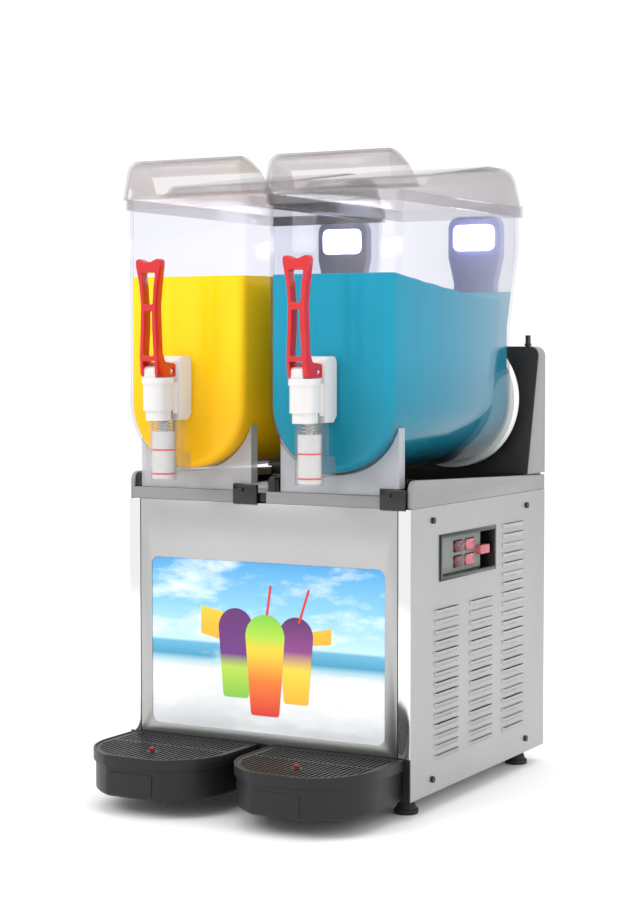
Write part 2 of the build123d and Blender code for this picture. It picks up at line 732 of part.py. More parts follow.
def bowl(side):
    """Clear moulded bowl with its rim, front skirt, and the tap's duct and tube."""
    x = side * bowl_x
    outside = bowl_blank(x, 0, rim_z)
    inside = bowl_blank(x, bowl_wall, rim_z + 5)
    rim = block(x - bowl_radius - lip, x + bowl_radius + lip, -bowl_overhang - lip,
                bowl_seat_depth + bowl_rear_step + lip, rim_z - lip_height, rim_z)
    rim = round_uprights(rim, 15 + lip, lambda edge: edge.center().Y < back(0))
    half = bowl_radius - skirt_margin
    skirt = block(x - half, x + half, skirt_back, skirt_back + skirt_thickness + skirt_return,
                  deck_z + trim_height + slip_gap, axis_z)
    skirt -= block(x - half + skirt_thickness, x + half - skirt_thickness,
                   skirt_back + skirt_thickness, 100, 0, axis_z + 5)
    corner = catch_middle(side)
    notch = block(corner - catch_width / 2 - 3, corner + catch_width / 2 + 3, -20, 60, 0,
                  deck_z + catch_height + 2 * slip_gap)
    skirt -= notch
    tube_depth = -bowl_overhang - tap_reach
    tube = post(x, tube_depth, tube_bottom, tube_top, tap_tube_radius)
    duct_z = tube_bottom + 12
    wide = duct_width / 2 + duct_wall
    duct = block(x - wide, x + wide, tube_depth, 5, duct_z - duct_wall,
                 duct_z + duct_height + duct_wall)
    bore = post(x, tube_depth, tube_bottom - 5, tube_top + 5, tap_bore_radius)
    passage = block(x - duct_width / 2, x + duct_width / 2, tube_depth, 40, duct_z,
                    duct_z + duct_height)
    web = block(x - 2, x + 2, tube_depth + 10, 5, duct_z + duct_height, tube_top + 10)
    opening = rod_y(x, axis_z, bowl_seat_depth - 40, bowl_seat_depth + 40, opening_radius)
    return outside + rim + skirt + tube + duct + web - inside - bore - passage - opening


# ---------------------------------------------------------------- taps
def tap_body(side):
    """White collar on the tube's mouth, with the lever's lug in front and a hook on the bowl."""
    x = side * bowl_x
    front_round = pivot_depth + 7
    rear_round = tap_depth - 6
    low, high = tube_top, collar_top
    plan = stadium(x, front_round, rear_round, collar_half)
    wide = top_profile(plan, low + 12, high)
    narrow = top_profile(stadium(x, front_round + 2, rear_round, collar_half - 2), low, low + 12)
    cap = top_profile(stadium(x, front_round, rear_round, collar_half + 1.5), high - 8, high)
    bridge = block(x - 10, x + 10, rear_round, -bowl_overhang - 20, low + 8, high - 6)
    hook = side_profile([(-bowl_overhang - 28, low), (-bowl_overhang - 28, high + 26),
                         (-bowl_overhang, high + 26), (-bowl_overhang, low + 8),
                         (-bowl_overhang - 8, low)], x - 12.5, x + 12.5,
                        [((-bowl_overhang - 28, high + 26), 9), ((-bowl_overhang, high + 26), 9)])
    lug = block(x - 8, x + 8, pivot_depth - 6, pivot_depth + 8, high, pivot_z)
    lug += rod_x(pivot_depth, pivot_z, x - 8, x + 8, 6)
    lug -= rod_x(pivot_depth, pivot_z, x - 20, x + 20, pivot_radius + running_gap)
    chamber = post(x, tap_depth, low - 1, spring_top, 11.5)
    stem_bore = post(x, tap_depth, low, high + 5, stem_radius + slip_gap)
    web_slot = block(x - 2 - slip_gap, x + 2 + slip_gap, tap_depth + 10 - slip_gap,
                     -bowl_overhang + 1, low - 1, low + 10 + slip_gap)
    return wide + narrow + cap + bridge + hook + lug - chamber - stem_bore - web_slot


def stadium(x, d0, d1, radius):
    ends = [Pos(x, back(d)) * Circle(radius) for d in (d0, d1)]
    middle = Pos(x, back((d0 + d1) / 2)) * Rectangle(2 * radius, d1 - d0)
    return Sketch() + ends + middle


piston_top = tube_top - 13.5
spring_top = collar_top - 14.0
ring_heights = (tube_bottom + 8.0, tube_bottom + 37.0)


def tap_piston(side):
    """White piston. Its two rings shut the duct, and its stem rises to the lever's cross pin."""
    x = side * bowl_x
    radius = tap_bore_radius - piston_gap
    body = post(x, tap_depth, tube_bottom + 2, piston_top, radius)
    grooves = []
    for z in ring_heights:
        groove = post(x, tap_depth, z - ring_section, z + ring_section, radius + 1)
        grooves.append(groove - post(x, tap_depth, z - 5, z + 5, radius - 1.6))
    stem = post(x, tap_depth, piston_top, pivot_z + 4, stem_radius)
    pin = rod_x(tap_depth, pivot_z, x - 12.2, x + 12.2, cross_pin_radius)
    return body - grooves + stem + pin


def piston_rings(side):
    made = []
    for z in ring_heights:
        outer = post(side * bowl_x, tap_depth, z - ring_section, z + ring_section,
                     tap_bore_radius - running_gap)
        inner = post(side * bowl_x, tap_depth, z - 5, z + 5, tap_bore_radius - piston_gap - 1.6)
        made.append(outer - inner)
    return made


def tap_spring(side):
    """Spring round the stem that pushes the piston shut."""
    low, high = piston_top + 0.2, spring_top - 0.2
    helix = Helix(pitch=spring_pitch, height=high - low - 2 * spring_wire, radius=8.6)
    section = Plane(origin=helix @ 0, z_dir=helix % 0) * Circle(spring_wire)
    coil = sweep(section, path=helix, is_frenet=True)
    return Pos(side * bowl_x, back(tap_depth), low + spring_wire) * coil


def tap_lever(side):
    """Red lever: a ladder-shaped frame on two cheeks. Its stubs turn in the collar's lug."""
    low = pivot_z
    grip = pivot_z + lever_length
    frame_low = pivot_z + 12
    frame = [(12.5, frame_low), (11.0, frame_low + 40), (10.2, frame_low + 66),
             (12.5, frame_low + 92), (17.0, grip - 8), (17.5, grip - 2), (15.0, grip),
             (8.0, grip - 1.5)]
    outline = [(-half, z) for half, z in frame] + [(half, z) for half, z in reversed(frame)]
    face = make_face(Polyline(outline, close=True))
    lower_gap = window_face([(7.6, frame_low + 6), (5.6, frame_low + 40), (5.4, frame_low + 60)])
    upper_gap = window_face([(6.4, frame_low + 68), (7.6, frame_low + 88), (10.2, grip - 16)])
    bars = front_profile(face, pivot_depth - 9, pivot_depth - 9 + lever_depth)
    for gap in (lower_gap, upper_gap):
        bars -= front_profile(gap, pivot_depth - 40, pivot_depth + 40)
    stub_gap = 8 + slip_gap
    cheek_points = [(pivot_depth - 9, frame_low + 8), (pivot_depth - 7.4, low),
                    (pivot_depth - 7.4, low - 1), (pivot_depth, low - 7.2),
                    (pivot_depth + 33, low - 7.2), (pivot_depth + 33, low + 9),
                    (pivot_depth + 10, low + 11), (pivot_depth + 5, frame_low + 8)]
    cheek = side_profile(cheek_points, stub_gap, stub_gap + leg_thickness)
    cheek += rod_x(pivot_depth, low, stub_gap, stub_gap + leg_thickness, 7.4)
    run, drop = slot_travel()
    pin = cross_pin_radius + slip_gap + 0.3
    slot = block(stub_gap - 3, stub_gap + leg_thickness + 3, tap_depth - pin, tap_depth + run + pin,
                 low - drop - pin, low + pin)
    stub = rod_x(pivot_depth, low, 4.5, stub_gap + 1, pivot_radius)
    cheek = cheek - slot + stub
    return Pos(side * bowl_x, 0, 0) * (bars + cheek + mirrored(cheek))


def slot_travel():
    """How far the cross pin moves back and down in its slots over the lever's whole swing."""
    swing = math.radians(lever_swing)
    lift = pivot_ahead * swing
    run = pivot_ahead * math.cos(swing) + lift * math.sin(swing) - pivot_ahead
    drop = pivot_ahead * math.sin(swing) - lift * math.cos(swing)
    return run, drop


def window_face(rows):
    outline = [(-half, z) for half, z in rows] + [(half, z) for half, z in reversed(rows)]
    return make_face(Polyline(outline, close=True))


# ---------------------------------------------------------------- lids
def lid_profile(inset):
    """The lid seen from the side: a steep front crest, a finger dip and a long rear crest."""
    front = -bowl_overhang - lip - lid_gap - lid_wall + 2 + inset
    rear = bowl_seat_depth + bowl_rear_step + lip + lid_gap + lid_wall - 2 - inset
    low = rim_z - 0.1 if inset else rim_z
    dip = front + lid_grip_at
    crest, rise = rim_z + lid_front_crest - inset, rim_z + lid_rear_crest - inset
    return [(front, low), (front + 3, crest - 10), (front + 14, crest), (front + 28, crest - 2),
            (dip - 26, crest - 16), (dip - 8, rim_z + lid_grip_height - inset),
            (dip + 8, rim_z + lid_grip_height - inset), (dip + 26, rim_z + 24 - inset),
            (rear - 80, rise - 1), (rear - 22, rise), (rear - 6, rise - 14), (rear, low)]


def lid_dome(x, inset):
    points = lid_profile(inset)
    rounds = [(points[2], 9), (points[4], 20), (points[7], 22), (points[9], 14)]
    half = bowl_radius + lip + lid_gap - inset
    slab = side_profile(points, x - half, x + half, rounds)
    top = rim_z + max(lid_front_crest, lid_rear_crest) + 5
    face = make_face(Polyline([(x - half, rim_z - 1), (x - half + 5, top - 18), (x - half + 16, top - 5),
                               (x - half + 16, top), (x + half - 16, top), (x + half - 16, top - 5),
                               (x + half - 5, top - 18), (x + half, rim_z - 1)], close=True))
    return slab & front_profile(face, -200, 600)


def lid(side):
    """Clear lid: a band round the bowl's rim and a domed top with a finger dip."""
    x = side * bowl_x
    reach = lip + lid_gap + lid_wall
    band = block(x - bowl_radius - reach, x + bowl_radius + reach, -bowl_overhang - reach,
                 bowl_seat_depth + bowl_rear_step + reach, rim_z - lid_band, rim_z + lid_wall)
    band = round_uprights(band, 15 + reach, lambda edge: edge.center().Y < back(0))
    gap = lip + lid_gap
    hollow = block(x - bowl_radius - gap, x + bowl_radius + gap, -bowl_overhang - gap,
                   bowl_seat_depth + bowl_rear_step + gap, rim_z - lid_band - 5, rim_z)
    hollow = round_uprights(hollow, 15 + gap, lambda edge: edge.center().Y < back(0))
    return band + lid_dome(x, 0) - hollow - lid_dome(x, 4.0)


# ---------------------------------------------------------------- controls
def recess_end():
    return recess_start + recess_length


def control_panel():
    """Black recess in the right side, with a switch plate and a deeper pocket behind it."""
    d0, d1 = recess_start, recess_end()
    z0, z1 = recess_bottom, recess_bottom + recess_height
    bezel = block(cabinet_half, cabinet_half + 1.6, d0, d1, z0, z1)
    tub = block(cabinet_half - recess_depth, cabinet_half, d0 + 3.3, d1 - 3.3, z0 + 3.3, z1 - 3.3)
    plate_end = d0 + plate_length
    shallow = block(cabinet_half - plate_depth, cabinet_half + 5, d0 + 5, plate_end,
                    z0 + 5, z1 - 5)
    deep = block(cabinet_half - recess_depth + 2, cabinet_half + 5, plate_end, d1 - 5,
                 z0 + 5, z1 - 5)
    behind = block(cabinet_half - recess_depth - 5, cabinet_half - plate_depth - 2.5, d0 + 5.3,
                   plate_end - 2, z0 + 5.3, z1 - 5.3)
    wells = []
    tilt_gap = (face_x() - rocker_x()) * math.sin(math.radians(rocker_angle)) + slip_gap
    for d, z, length, height in rocker_places():
        wells.append(block(cabinet_half - recess_depth, cabinet_half, d - length / 2 - well_gap,
                           d + length / 2 + well_gap, z - height / 2 - tilt_gap,
                           z + height / 2 + tilt_gap))
    slot = block(cabinet_half - recess_depth, cabinet_half, selector_depth - 3, selector_depth + 9,
                 selector_z - 3, selector_z + 3)
    bearings = []
    bores = []
    for d, z, length, height in rocker_places():
        for end in (d - length / 2 - well_gap - 1.6, d + length / 2 + well_gap):
            bearings.append(block(rocker_x() - 4, face_x() - 1, end, end + 1.6, z - 4, z + 4))
        bores.append(rod_y(rocker_x(), z, d - length / 2 - 3, d + length / 2 + 3,
                           1.5 + running_gap))
    return bezel + tub - shallow - deep - behind - wells - slot + bearings - bores


selector_depth = 203.0
selector_z = recess_bottom + 28.0
well_gap = 0.6


def face_x():
    """X of the switch plate's face."""
    return cabinet_half - plate_depth


def rocker_x():
    """X of the rockers' pivot line, behind the switch plate."""
    return face_x() - 6


def rocker_places():
    """Depth, height, length and height of face of the four rockers, low ones first."""
    low, high = recess_bottom + 18.5, recess_bottom + 37.5
    return [(148, low, 24, 13), (148, high, 24, 13), (182, low, 26, 13), (182, high, 26, 13)]


def rocker(place):
    d, z, length, height = place
    x = face_x()
    face = make_face(Polyline([(rocker_x() - 3, z - 4), (x - 0.2, z - height / 2),
                               (x + 3.2, z - height / 2), (x + 1.0, z),
                               (x + 3.2, z + height / 2), (x - 0.2, z + height / 2),
                               (rocker_x() - 3, z + 4)], close=True))
    body = front_profile(face, d - length / 2, d + length / 2)
    pivot = rod_y(rocker_x(), z, d - length / 2 - 2, d + length / 2 + 2, 1.5)
    return body + pivot


def mode_selector():
    """Pink slide knob of the night-mode selector."""
    x = face_x()
    knob = block(x + 0.4, cabinet_half - 0.5, selector_depth - 2, selector_depth + 26,
                 selector_z - 5.5, selector_z + 5.5)
    knob = fillet(knob.edges().filter_by(Axis.X), 2.5)
    neck = block(x - 6, x + 1, selector_depth - 2.6, selector_depth + 2.6, selector_z - 2.6,
                 selector_z + 2.6)
    tab = block(x - 6, x - 2.9, selector_depth - 2.6, selector_depth + 2.6, selector_z - 4.5,
                selector_z + 4.5)
    return knob + neck + tab


# ---------------------------------------------------------------- cooling
pan_top = foot_height + 1.5
compressor_place = (-95.0, 190.0)
compressor_height = 200.0
condenser_x = 128.0
condenser_height = 220.0


def compressor():
    x, d = compressor_place
    shell = post(x, d, pan_top + 14, pan_top + 176, 68)
    shell = fillet(shell.edges(), 22)
    feet_plate = block(x - 80, x + 80, d - 45, d + 45, pan_top + 10, pan_top + 20)
    grommets = [post(x + i * 68, d + j * 34, pan_top, pan_top + 10, 8)
                for i in (-1, 1) for j in (-1, 1)]
    outlet = post(x, d + 20, pan_top + 170, pan_top + compressor_height, 4)
    return shell + feet_plate + grommets + outlet


def condenser():
    """Finned block behind the right-hand louvres."""
    core = block(condenser_x, condenser_x + 34, 100, 330, pan_top, pan_top + condenser_height)
    fins = [block(condenser_x - 1, condenser_x + 40, 106, 324, pan_top + 12 + i * 16,
                  pan_top + 14 + i * 16) for i in range(13)]
    return core - [fin & block(condenser_x - 5, condenser_x + 6, 0, 500, 0, 400) for fin in fins]


fan_depth = 215.0
fan_z = pan_top + 112.0
fan_radius = 92.0


def fan_shroud():
    """Ring and motor bracket that hold the condenser fan."""
    plate = block(condenser_x - 24, condenser_x, 105, 325, pan_top, pan_top + condenser_height - 2)
    plate -= rod_x(fan_depth, fan_z, condenser_x - 30, condenser_x - 2, fan_radius + 3)
    plate -= rod_x(fan_depth, fan_z, condenser_x - 30, condenser_x + 5, fan_radius - 4)
    motor = rod_x(fan_depth, fan_z, condenser_x - 70, condenser_x - 30, 32)
    arms = [block(condenser_x - 30, condenser_x - 24, fan_depth - 106, fan_depth + 106,
                  fan_z + offset - 5, fan_z + offset + 5) for offset in (-14, 14)]
    shaft = rod_x(fan_depth, fan_z, condenser_x - 30, condenser_x - 8, 3)
    return plate + motor + arms + shaft


def fan_blades():
    hub = rod_x(fan_depth, fan_z, condenser_x - 21, condenser_x - 8, 22)
    blades = []
    for turn in range(5):
        blade = Box(3, 34, fan_radius - 22)
        blade = Pos(0, 0, 20 + (fan_radius - 22) / 2) * Rot(0, 0, 62) * blade
        blades.append(Pos(condenser_x - 14.5, back(fan_depth), fan_z) * Rot(72 * turn, 0, 0) * blade)
    limit = rod_x(fan_depth, fan_z, condenser_x - 23, condenser_x - 5, fan_radius)
    bore = rod_x(fan_depth, fan_z, condenser_x - 40, condenser_x, 3 + running_gap)
    return hub + [blade & limit for blade in blades] - bore


def refrigerant_lines():
    """Copper lines: compressor to condenser, and condenser to both drums, with a filter drier."""
    x, d = compressor_place
    line = 3.0
    start, end = pan_top + compressor_height, pan_top + condenser_height
    high = end + 24
    runs = [[(x, d + 20, start), (x, d + 20, high), (condenser_x + 20, d + 20, high),
             (condenser_x + 20, d + 20, end)],
            [(condenser_x + 20, 300, end), (condenser_x + 20, 300, high + 40),
             (condenser_x + 20, 335, high + 40), (-bowl_x - 45, 335, high + 40)]]
    tubes = [bent_tube(points, line) for points in runs]
    drier = rod_x(335, high + 40, -30, 60, 9)
    return tubes + [drier]


def bent_tube(points, radius):
    places = [(px, back(pd), pz) for px, pd, pz in points]
    path = FilletPolyline(*places, radius=12)
    return sweep(Plane(origin=path @ 0, z_dir=path % 0) * Circle(radius), path=path)


# ---------------------------------------------------------------- writing the pieces
def pieces():
    made = {
        "base_pan": base_pan(), "feet": feet(), "corner_posts": corner_posts(),
        "front_panel": front_panel(), "graphic_panel": graphic_panel(),
        "led_boards": led_boards(), "rear_panel": rear_panel(), "cord_inlet": cord_inlet(),
        "side_panel_left": side_panel(False), "side_panel_right": side_panel(True),
        "screws": screws(), "lower_front_bar": lower_front_bar(), "deck_trims": deck_trims(),
        "rear_tower": rear_tower(), "tower_cover": tower_cover(), "lamp_posts": lamp_posts(),
        "evaporators": evaporators(), "bowl_gaskets": bowl_gaskets(),
        "gearmotors": gearmotors(), "control_panel": control_panel(),
        "mode_selector": mode_selector(), "compressor": compressor(),
        "condenser": condenser(), "fan_shroud": fan_shroud(), "fan_blades": fan_blades(),
        "refrigerant_lines": refrigerant_lines(),
    }
    sided = {
        "deck": deck, "bowl_catch": bowl_catch, "bowl": bowl, "lid": lid, "auger": auger,
        "drive_shaft": drive_shaft, "tap_body": tap_body, "tap_lever": tap_lever,
        "tap_piston": tap_piston, "piston_rings": piston_rings, "tap_spring": tap_spring,
        "drip_tray": drip_tray, "tray_grid": tray_grid, "tray_float": tray_float,
        "thickness_knob": thickness_knob,
    }
    for name, build in sided.items():
        for where, side in sides.items():
            made[f"{name}_{where}"] = build(side)
    names = ("power_switch", "light_switch", "left_bowl_switch", "right_bowl_switch")
    for name, place in zip(names, rocker_places()):
        made[name] = rocker(place)
    return made


def write(name, shape):
    if isinstance(shape, list):
        solids = [solid for part in shape for solid in part.solids()]
        shape = Compound(children=solids)
    export_step(shape, os.path.join("parts", name + ".step"))


os.makedirs("parts", exist_ok=True)
for piece_name, piece in pieces().items():
    write(piece_name, piece)
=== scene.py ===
# %% [markdown]
# # The looks of a twin-bowl slush machine
# The CAD model fixes every size, fit and joint. This script loads it and gives each piece its
# final surface: some CAD pieces only get a material, some are copied and get soft moulded edges,
# and those whose beauty is in their curves (bowls, lids, drink, taps) are modelled here.

# %% Load the imported model
import json
import math
import random

import bmesh
import bpy
from mathutils import Matrix, Vector

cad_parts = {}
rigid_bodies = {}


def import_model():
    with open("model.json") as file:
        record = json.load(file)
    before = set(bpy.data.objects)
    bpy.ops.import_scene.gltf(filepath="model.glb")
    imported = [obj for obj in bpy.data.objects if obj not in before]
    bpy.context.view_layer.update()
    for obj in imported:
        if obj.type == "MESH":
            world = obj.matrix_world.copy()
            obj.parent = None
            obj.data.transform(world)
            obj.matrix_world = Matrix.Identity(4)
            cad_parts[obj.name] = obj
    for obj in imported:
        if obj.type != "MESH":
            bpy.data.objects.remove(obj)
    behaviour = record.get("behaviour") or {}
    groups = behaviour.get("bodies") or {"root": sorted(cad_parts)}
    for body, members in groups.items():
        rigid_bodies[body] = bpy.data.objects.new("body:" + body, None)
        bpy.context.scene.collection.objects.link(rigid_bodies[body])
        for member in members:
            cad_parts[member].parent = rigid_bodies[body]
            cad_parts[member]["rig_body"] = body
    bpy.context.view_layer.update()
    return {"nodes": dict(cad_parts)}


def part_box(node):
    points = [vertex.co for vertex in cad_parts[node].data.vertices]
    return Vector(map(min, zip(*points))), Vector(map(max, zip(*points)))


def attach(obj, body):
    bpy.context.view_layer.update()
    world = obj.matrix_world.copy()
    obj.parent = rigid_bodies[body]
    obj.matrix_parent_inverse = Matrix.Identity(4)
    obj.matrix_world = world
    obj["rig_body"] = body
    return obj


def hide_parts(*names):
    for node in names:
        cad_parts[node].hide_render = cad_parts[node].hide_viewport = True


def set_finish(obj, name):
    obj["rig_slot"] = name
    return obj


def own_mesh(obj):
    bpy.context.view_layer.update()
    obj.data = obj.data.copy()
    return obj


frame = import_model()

# %% [markdown]
# ## Places to measure from
# Nothing is placed by eye. A node's box says where the CAD put it, so the front sheet, the deck,
# the bowls' rims and the drum's axis are read once here, and everything else is counted from them
# in millimetres. Depth means the distance behind the cabinet's front sheet.

# %% Places read from the frame
MM = 0.001
front_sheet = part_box("front_panel")[0].y
deck_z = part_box("front_panel")[1].z
cabinet_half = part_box("corner_posts")[1].x
bowl_low, bowl_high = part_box("bowl_right")
bowl_x = (bowl_low.x + bowl_high.x) / 2
rim_z = bowl_high.z
axis_z = sum(corner.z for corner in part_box("drive_shaft_right")) / 2
LIP = 1.5 * MM
WALL = 3.0 * MM
bowl_half = (bowl_high.x - bowl_low.x) / 2 - LIP
twin_step = Vector((-2 * bowl_x, 0, 0))


def at(depth):
    """Y of a place so many millimetres behind the front sheet."""
    return front_sheet + depth * MM


print(f"deck {deck_z:.3f}, rim {rim_z:.3f}, bowl {bowl_half:.4f} half wide at x {bowl_x:.3f}")

# %% [markdown]
# ## Hand tools
# Modelling from a script is the same as modelling by hand: a primitive goes in, edit mode opens,
# something is chosen and an operator acts on it. An operator acts on all that is selected, so
# every tool starts by letting go of everything.

# %% Choosing and shaping


def start(obj=None):
    """Leaves edit mode, lets go of everything and takes hold of obj alone."""
    if bpy.context.object and bpy.context.object.mode != "OBJECT":
        bpy.ops.object.mode_set(mode="OBJECT")
    bpy.ops.object.select_all(action="DESELECT")
    if obj:
        obj.select_set(True)
        bpy.context.view_layer.objects.active = obj


def middle(item):
    """The middle of an edge or a face."""
    return sum((vertex.co for vertex in item.verts), Vector()) / len(item.verts)


def choose(obj, kind, test):
    """Opens obj in edit mode and selects the verts, edges or faces that pass the test."""
    start(obj)
    bpy.ops.object.mode_set(mode="EDIT")
    bpy.ops.mesh.select_mode(type=kind)
    bpy.ops.mesh.select_all(action="DESELECT")
    mesh = bmesh.from_edit_mesh(obj.data)
    items = {"VERT": mesh.verts, "EDGE": mesh.edges, "FACE": mesh.faces}[kind]
    for item in [item for item in items if test(item)]:
        item.select_set(True)
    bmesh.update_edit_mesh(obj.data)


def settle_place(obj):
    """Puts an object's place, turn and scale into its mesh."""
    start(obj)
    bpy.ops.object.transform_apply(location=True, rotation=True, scale=True)
    return obj


def named(name):
    bpy.context.object.name = name
    return settle_place(bpy.context.object)


def block(name, low, high):
    """A box between two corners."""
    start()
    low, high = Vector(low), Vector(high)
    bpy.ops.mesh.primitive_cube_add(size=1, location=(low + high) / 2, scale=high - low)
    return named(name)


def rod(name, begin, end, radius, sides=48):
    """A round bar from one point to another."""
    start()
    begin, end = Vector(begin), Vector(end)
    turn = (end - begin).to_track_quat("Z", "Y").to_euler()
    bpy.ops.mesh.primitive_cylinder_add(vertices=sides, radius=radius, depth=(end - begin).length,
                                        location=(begin + end) / 2, rotation=turn)
    return named(name)


def outline(name, points):
    """A flat shape: a circle primitive whose points are moved to the outline's points."""
    start()
    bpy.ops.mesh.primitive_circle_add(vertices=len(points), fill_type="NGON")
    made = named(name)
    for vertex, place in zip(made.data.vertices, points):
        vertex.co = place
    return made


def pull(obj, move):
    """Extrudes the whole of a flat shape into a solid, with its faces outwards."""
    choose(obj, "FACE", lambda face: True)
    bpy.ops.mesh.extrude_region_move(TRANSFORM_OT_translate={"value": move})
    bpy.ops.mesh.select_all(action="SELECT")
    bpy.ops.mesh.normals_make_consistent(inside=False)
    start(obj)
    return obj


def change(obj, kind, **settings):
    """Adds one modifier with its settings and applies it."""
    start(obj)
    modifier = obj.modifiers.new(kind.title(), kind)
    for name, value in settings.items():
        setattr(modifier, name, value)
    bpy.ops.object.modifier_apply(modifier=modifier.name)
    return obj


def combine(obj, *others, operation="DIFFERENCE"):
    """Cuts the others out of obj, or joins them to it, and removes them."""
    for other in others:
        change(obj, "BOOLEAN", operation=operation, object=other, solver="EXACT")
        bpy.data.objects.remove(other)
    return obj


def soft_edges(obj, width, steps=2, angle=35):
    return change(obj, "BEVEL", width=width, segments=steps, limit_method="ANGLE",
                  angle_limit=math.radians(angle), miter_outer="MITER_ARC")


def copied(obj, name, move=(0, 0, 0)):
    """A second piece of the same shape, with its own mesh, moved."""
    made = bpy.data.objects.new(name, obj.data.copy())
    bpy.context.scene.collection.objects.link(made)
    made.data.transform(Matrix.Translation(Vector(move)))
    return made


def settle(obj, material, body, slot, *nodes, smooth=32):
    """Finishes a piece: shading, material, the body it rides on, and the CAD nodes it stands for."""
    start(obj)
    bpy.ops.object.shade_smooth_by_angle(angle=math.radians(smooth))
    obj.data.materials.clear()
    obj.data.materials.append(material)
    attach(obj, body)
    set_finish(obj, slot)
    if nodes:
        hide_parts(*nodes)
    print(f"{obj.name}: {len(obj.data.polygons)} faces")
    return obj


def settle_pair(obj, stem, material, body, slot, *stems, smooth=32):
    """Finishes a right-hand piece and its left-hand copy, which differ only in place."""
    materials = material if isinstance(material, dict) else {"right": material, "left": material}
    left = copied(obj, stem + "_left", twin_step)
    obj.name = stem + "_right"
    for side, piece in (("right", obj), ("left", left)):
        rides = body if body == "cabinet" else f"{body}_{side}"
        nodes = [f"{name}_{side}" for name in stems]
        settle(piece, materials[side], rides, slot, *nodes, smooth=smooth)
    return obj, left


# %% [markdown]
# ## Colours and shader nodes
# Colours are written as sRGB hex values, the way a paint or plastic maker's chart gives them, and
# one function turns them to the linear light that the renderer works in. A second small function
# adds a shader node with its settings and links, and nothing else about nodes needs a helper.

# %% Colour and node helpers


def linear(code):
    """An sRGB hex colour as linear red, green, blue and 1."""
    parts = [int(code[i:i + 2], 16) / 255 for i in (1, 3, 5)]
    return [p / 12.92 if p <= 0.04045 else ((p + 0.055) / 1.055) ** 2.4 for p in parts] + [1.0]


def add_node(tree, kind, inputs=None, **settings):
    made = tree.nodes.new("ShaderNode" + kind)
    for name, value in settings.items():
        setattr(made, name, value)
    for socket, value in (inputs or {}).items():
        if isinstance(value, bpy.types.NodeSocket):
            tree.links.new(value, made.inputs[socket])
        else:
            made.inputs[socket].default_value = value
    return made


def place_on(tree, stretch=(1, 1, 1)):
    """Object coordinates in metres, stretched where a grain runs one way."""
    where = add_node(tree, "TexCoord").outputs["Object"]
    return add_node(tree, "Mapping", {"Vector": where, "Scale": stretch}).outputs[0]


def surface(name, code, gloss, grain, depth, stretch=(1, 1, 1), other=None, cloud=70, **sockets):
    """A Principled finish. gloss is its lowest and highest roughness, grain its size and depth its
    height in millimetres, and other a second colour that drifts in over cloud millimetres."""
    made = bpy.data.materials.new(name)
    made.use_nodes = True
    tree = made.node_tree
    shader = tree.nodes["Principled BSDF"]
    for socket, value in sockets.items():
        shader.inputs[socket.replace("_", " ")].default_value = value
    drift = add_node(tree, "TexNoise", {"Vector": place_on(tree), "Scale": 1000 / cloud,
                                        "Detail": 4.0}).outputs["Fac"]
    fine = add_node(tree, "TexNoise", {"Vector": place_on(tree, stretch), "Scale": 1000 / grain,
                                       "Detail": 2.0}).outputs["Fac"]
    tint = add_node(tree, "Mix", {0: drift, 6: linear(code), 7: linear(other or code)},
                    data_type="RGBA").outputs[2]
    worn = add_node(tree, "Mix", {0: 0.12, 6: tint, 7: fine}, data_type="RGBA",
                    blend_type="SOFT_LIGHT").outputs[2]
    tree.links.new(worn, shader.inputs["Base Color"])
    rough = add_node(tree, "MapRange", {"Value": drift, "From Min": 0.3, "From Max": 0.7,
                                        "To Min": gloss[0], "To Max": gloss[1]}).outputs[0]
    tree.links.new(rough, shader.inputs["Roughness"])
    bump = add_node(tree, "Bump", {"Height": fine, "Distance": depth * MM, "Strength": 0.6})
    tree.links.new(bump.outputs[0], shader.inputs["Normal"])
    return made


# %% [markdown]
# ## Metals
# Brushed stainless sheet is rolled, then sanded one way, so its scratches are long and lie level
# round the cabinet. A noise pattern squeezed along two axes gives those lines. Real scratches are
# about 0.05 mm apart, too fine to see from here, so they are drawn 1 mm apart. The corner strips
# are the same steel, polished. The hidden metals are the plain finishes of the trade.

# %% Metal finishes
LEVEL = (0.03, 0.03, 1)
brushed_steel = surface("brushed_stainless_304", "#B2B3B4", (0.30, 0.38), 1.0, 0.02, LEVEL,
                        "#A9A9A6", 220, Metallic=1.0)
polished_steel = surface("polished_stainless_strip", "#E6E6E6", (0.10, 0.16), 1.5, 0.004, LEVEL,
                         Metallic=1.0)
drum_steel = surface("ground_stainless_drum", "#D2D3D5", (0.25, 0.32), 1.0, 0.01, (1, 0.03, 1),
                     Metallic=1.0)
shaft_steel = surface("ground_shaft_steel", "#BEBEBE", (0.2, 0.3), 0.8, 0.01, (1, 1, 1),
                      Metallic=1.0)
spring_steel = surface("drawn_spring_wire", "#C6C6C4", (0.22, 0.3), 0.8, 0.01, Metallic=1.0)
zinc_steel = surface("galvanised_sheet", "#9EA2A5", (0.4, 0.55), 2.0, 0.03, (1, 1, 1),
                     "#B4B8BA", 14, Metallic=1.0)
# The screws are coloured a dark grey.
screw_steel = surface("dark_grey_screw", "#3C3C3C", (0.3, 0.4), 0.8, 0.02, Metallic=1.0)
fin_metal = surface("mill_finish_aluminium", "#B9BBBE", (0.35, 0.5), 1.0, 0.02, Metallic=1.0)
copper = surface("drawn_copper_tube", "#C8805A", (0.25, 0.4), 1.5, 0.01, (1, 1, 1), "#B46A48", 30,
                 Metallic=1.0)
black_paint = surface("black_stoved_enamel", "#101011", (0.3, 0.42), 1.2, 0.03, (1, 1, 1),
                      "#18181A", 40)

# %% [markdown]
# ## Plastics and rubbers
# Moulded ABS is softly textured by its tool: a fine grain, and a gloss that drifts where hands and
# cloths have polished it. The trays are charcoal and satin, the deck a glossier black. The lever is
# a bright gloss red, the tap collar and piston white acetal. Rubber is duller and has no sparkle.

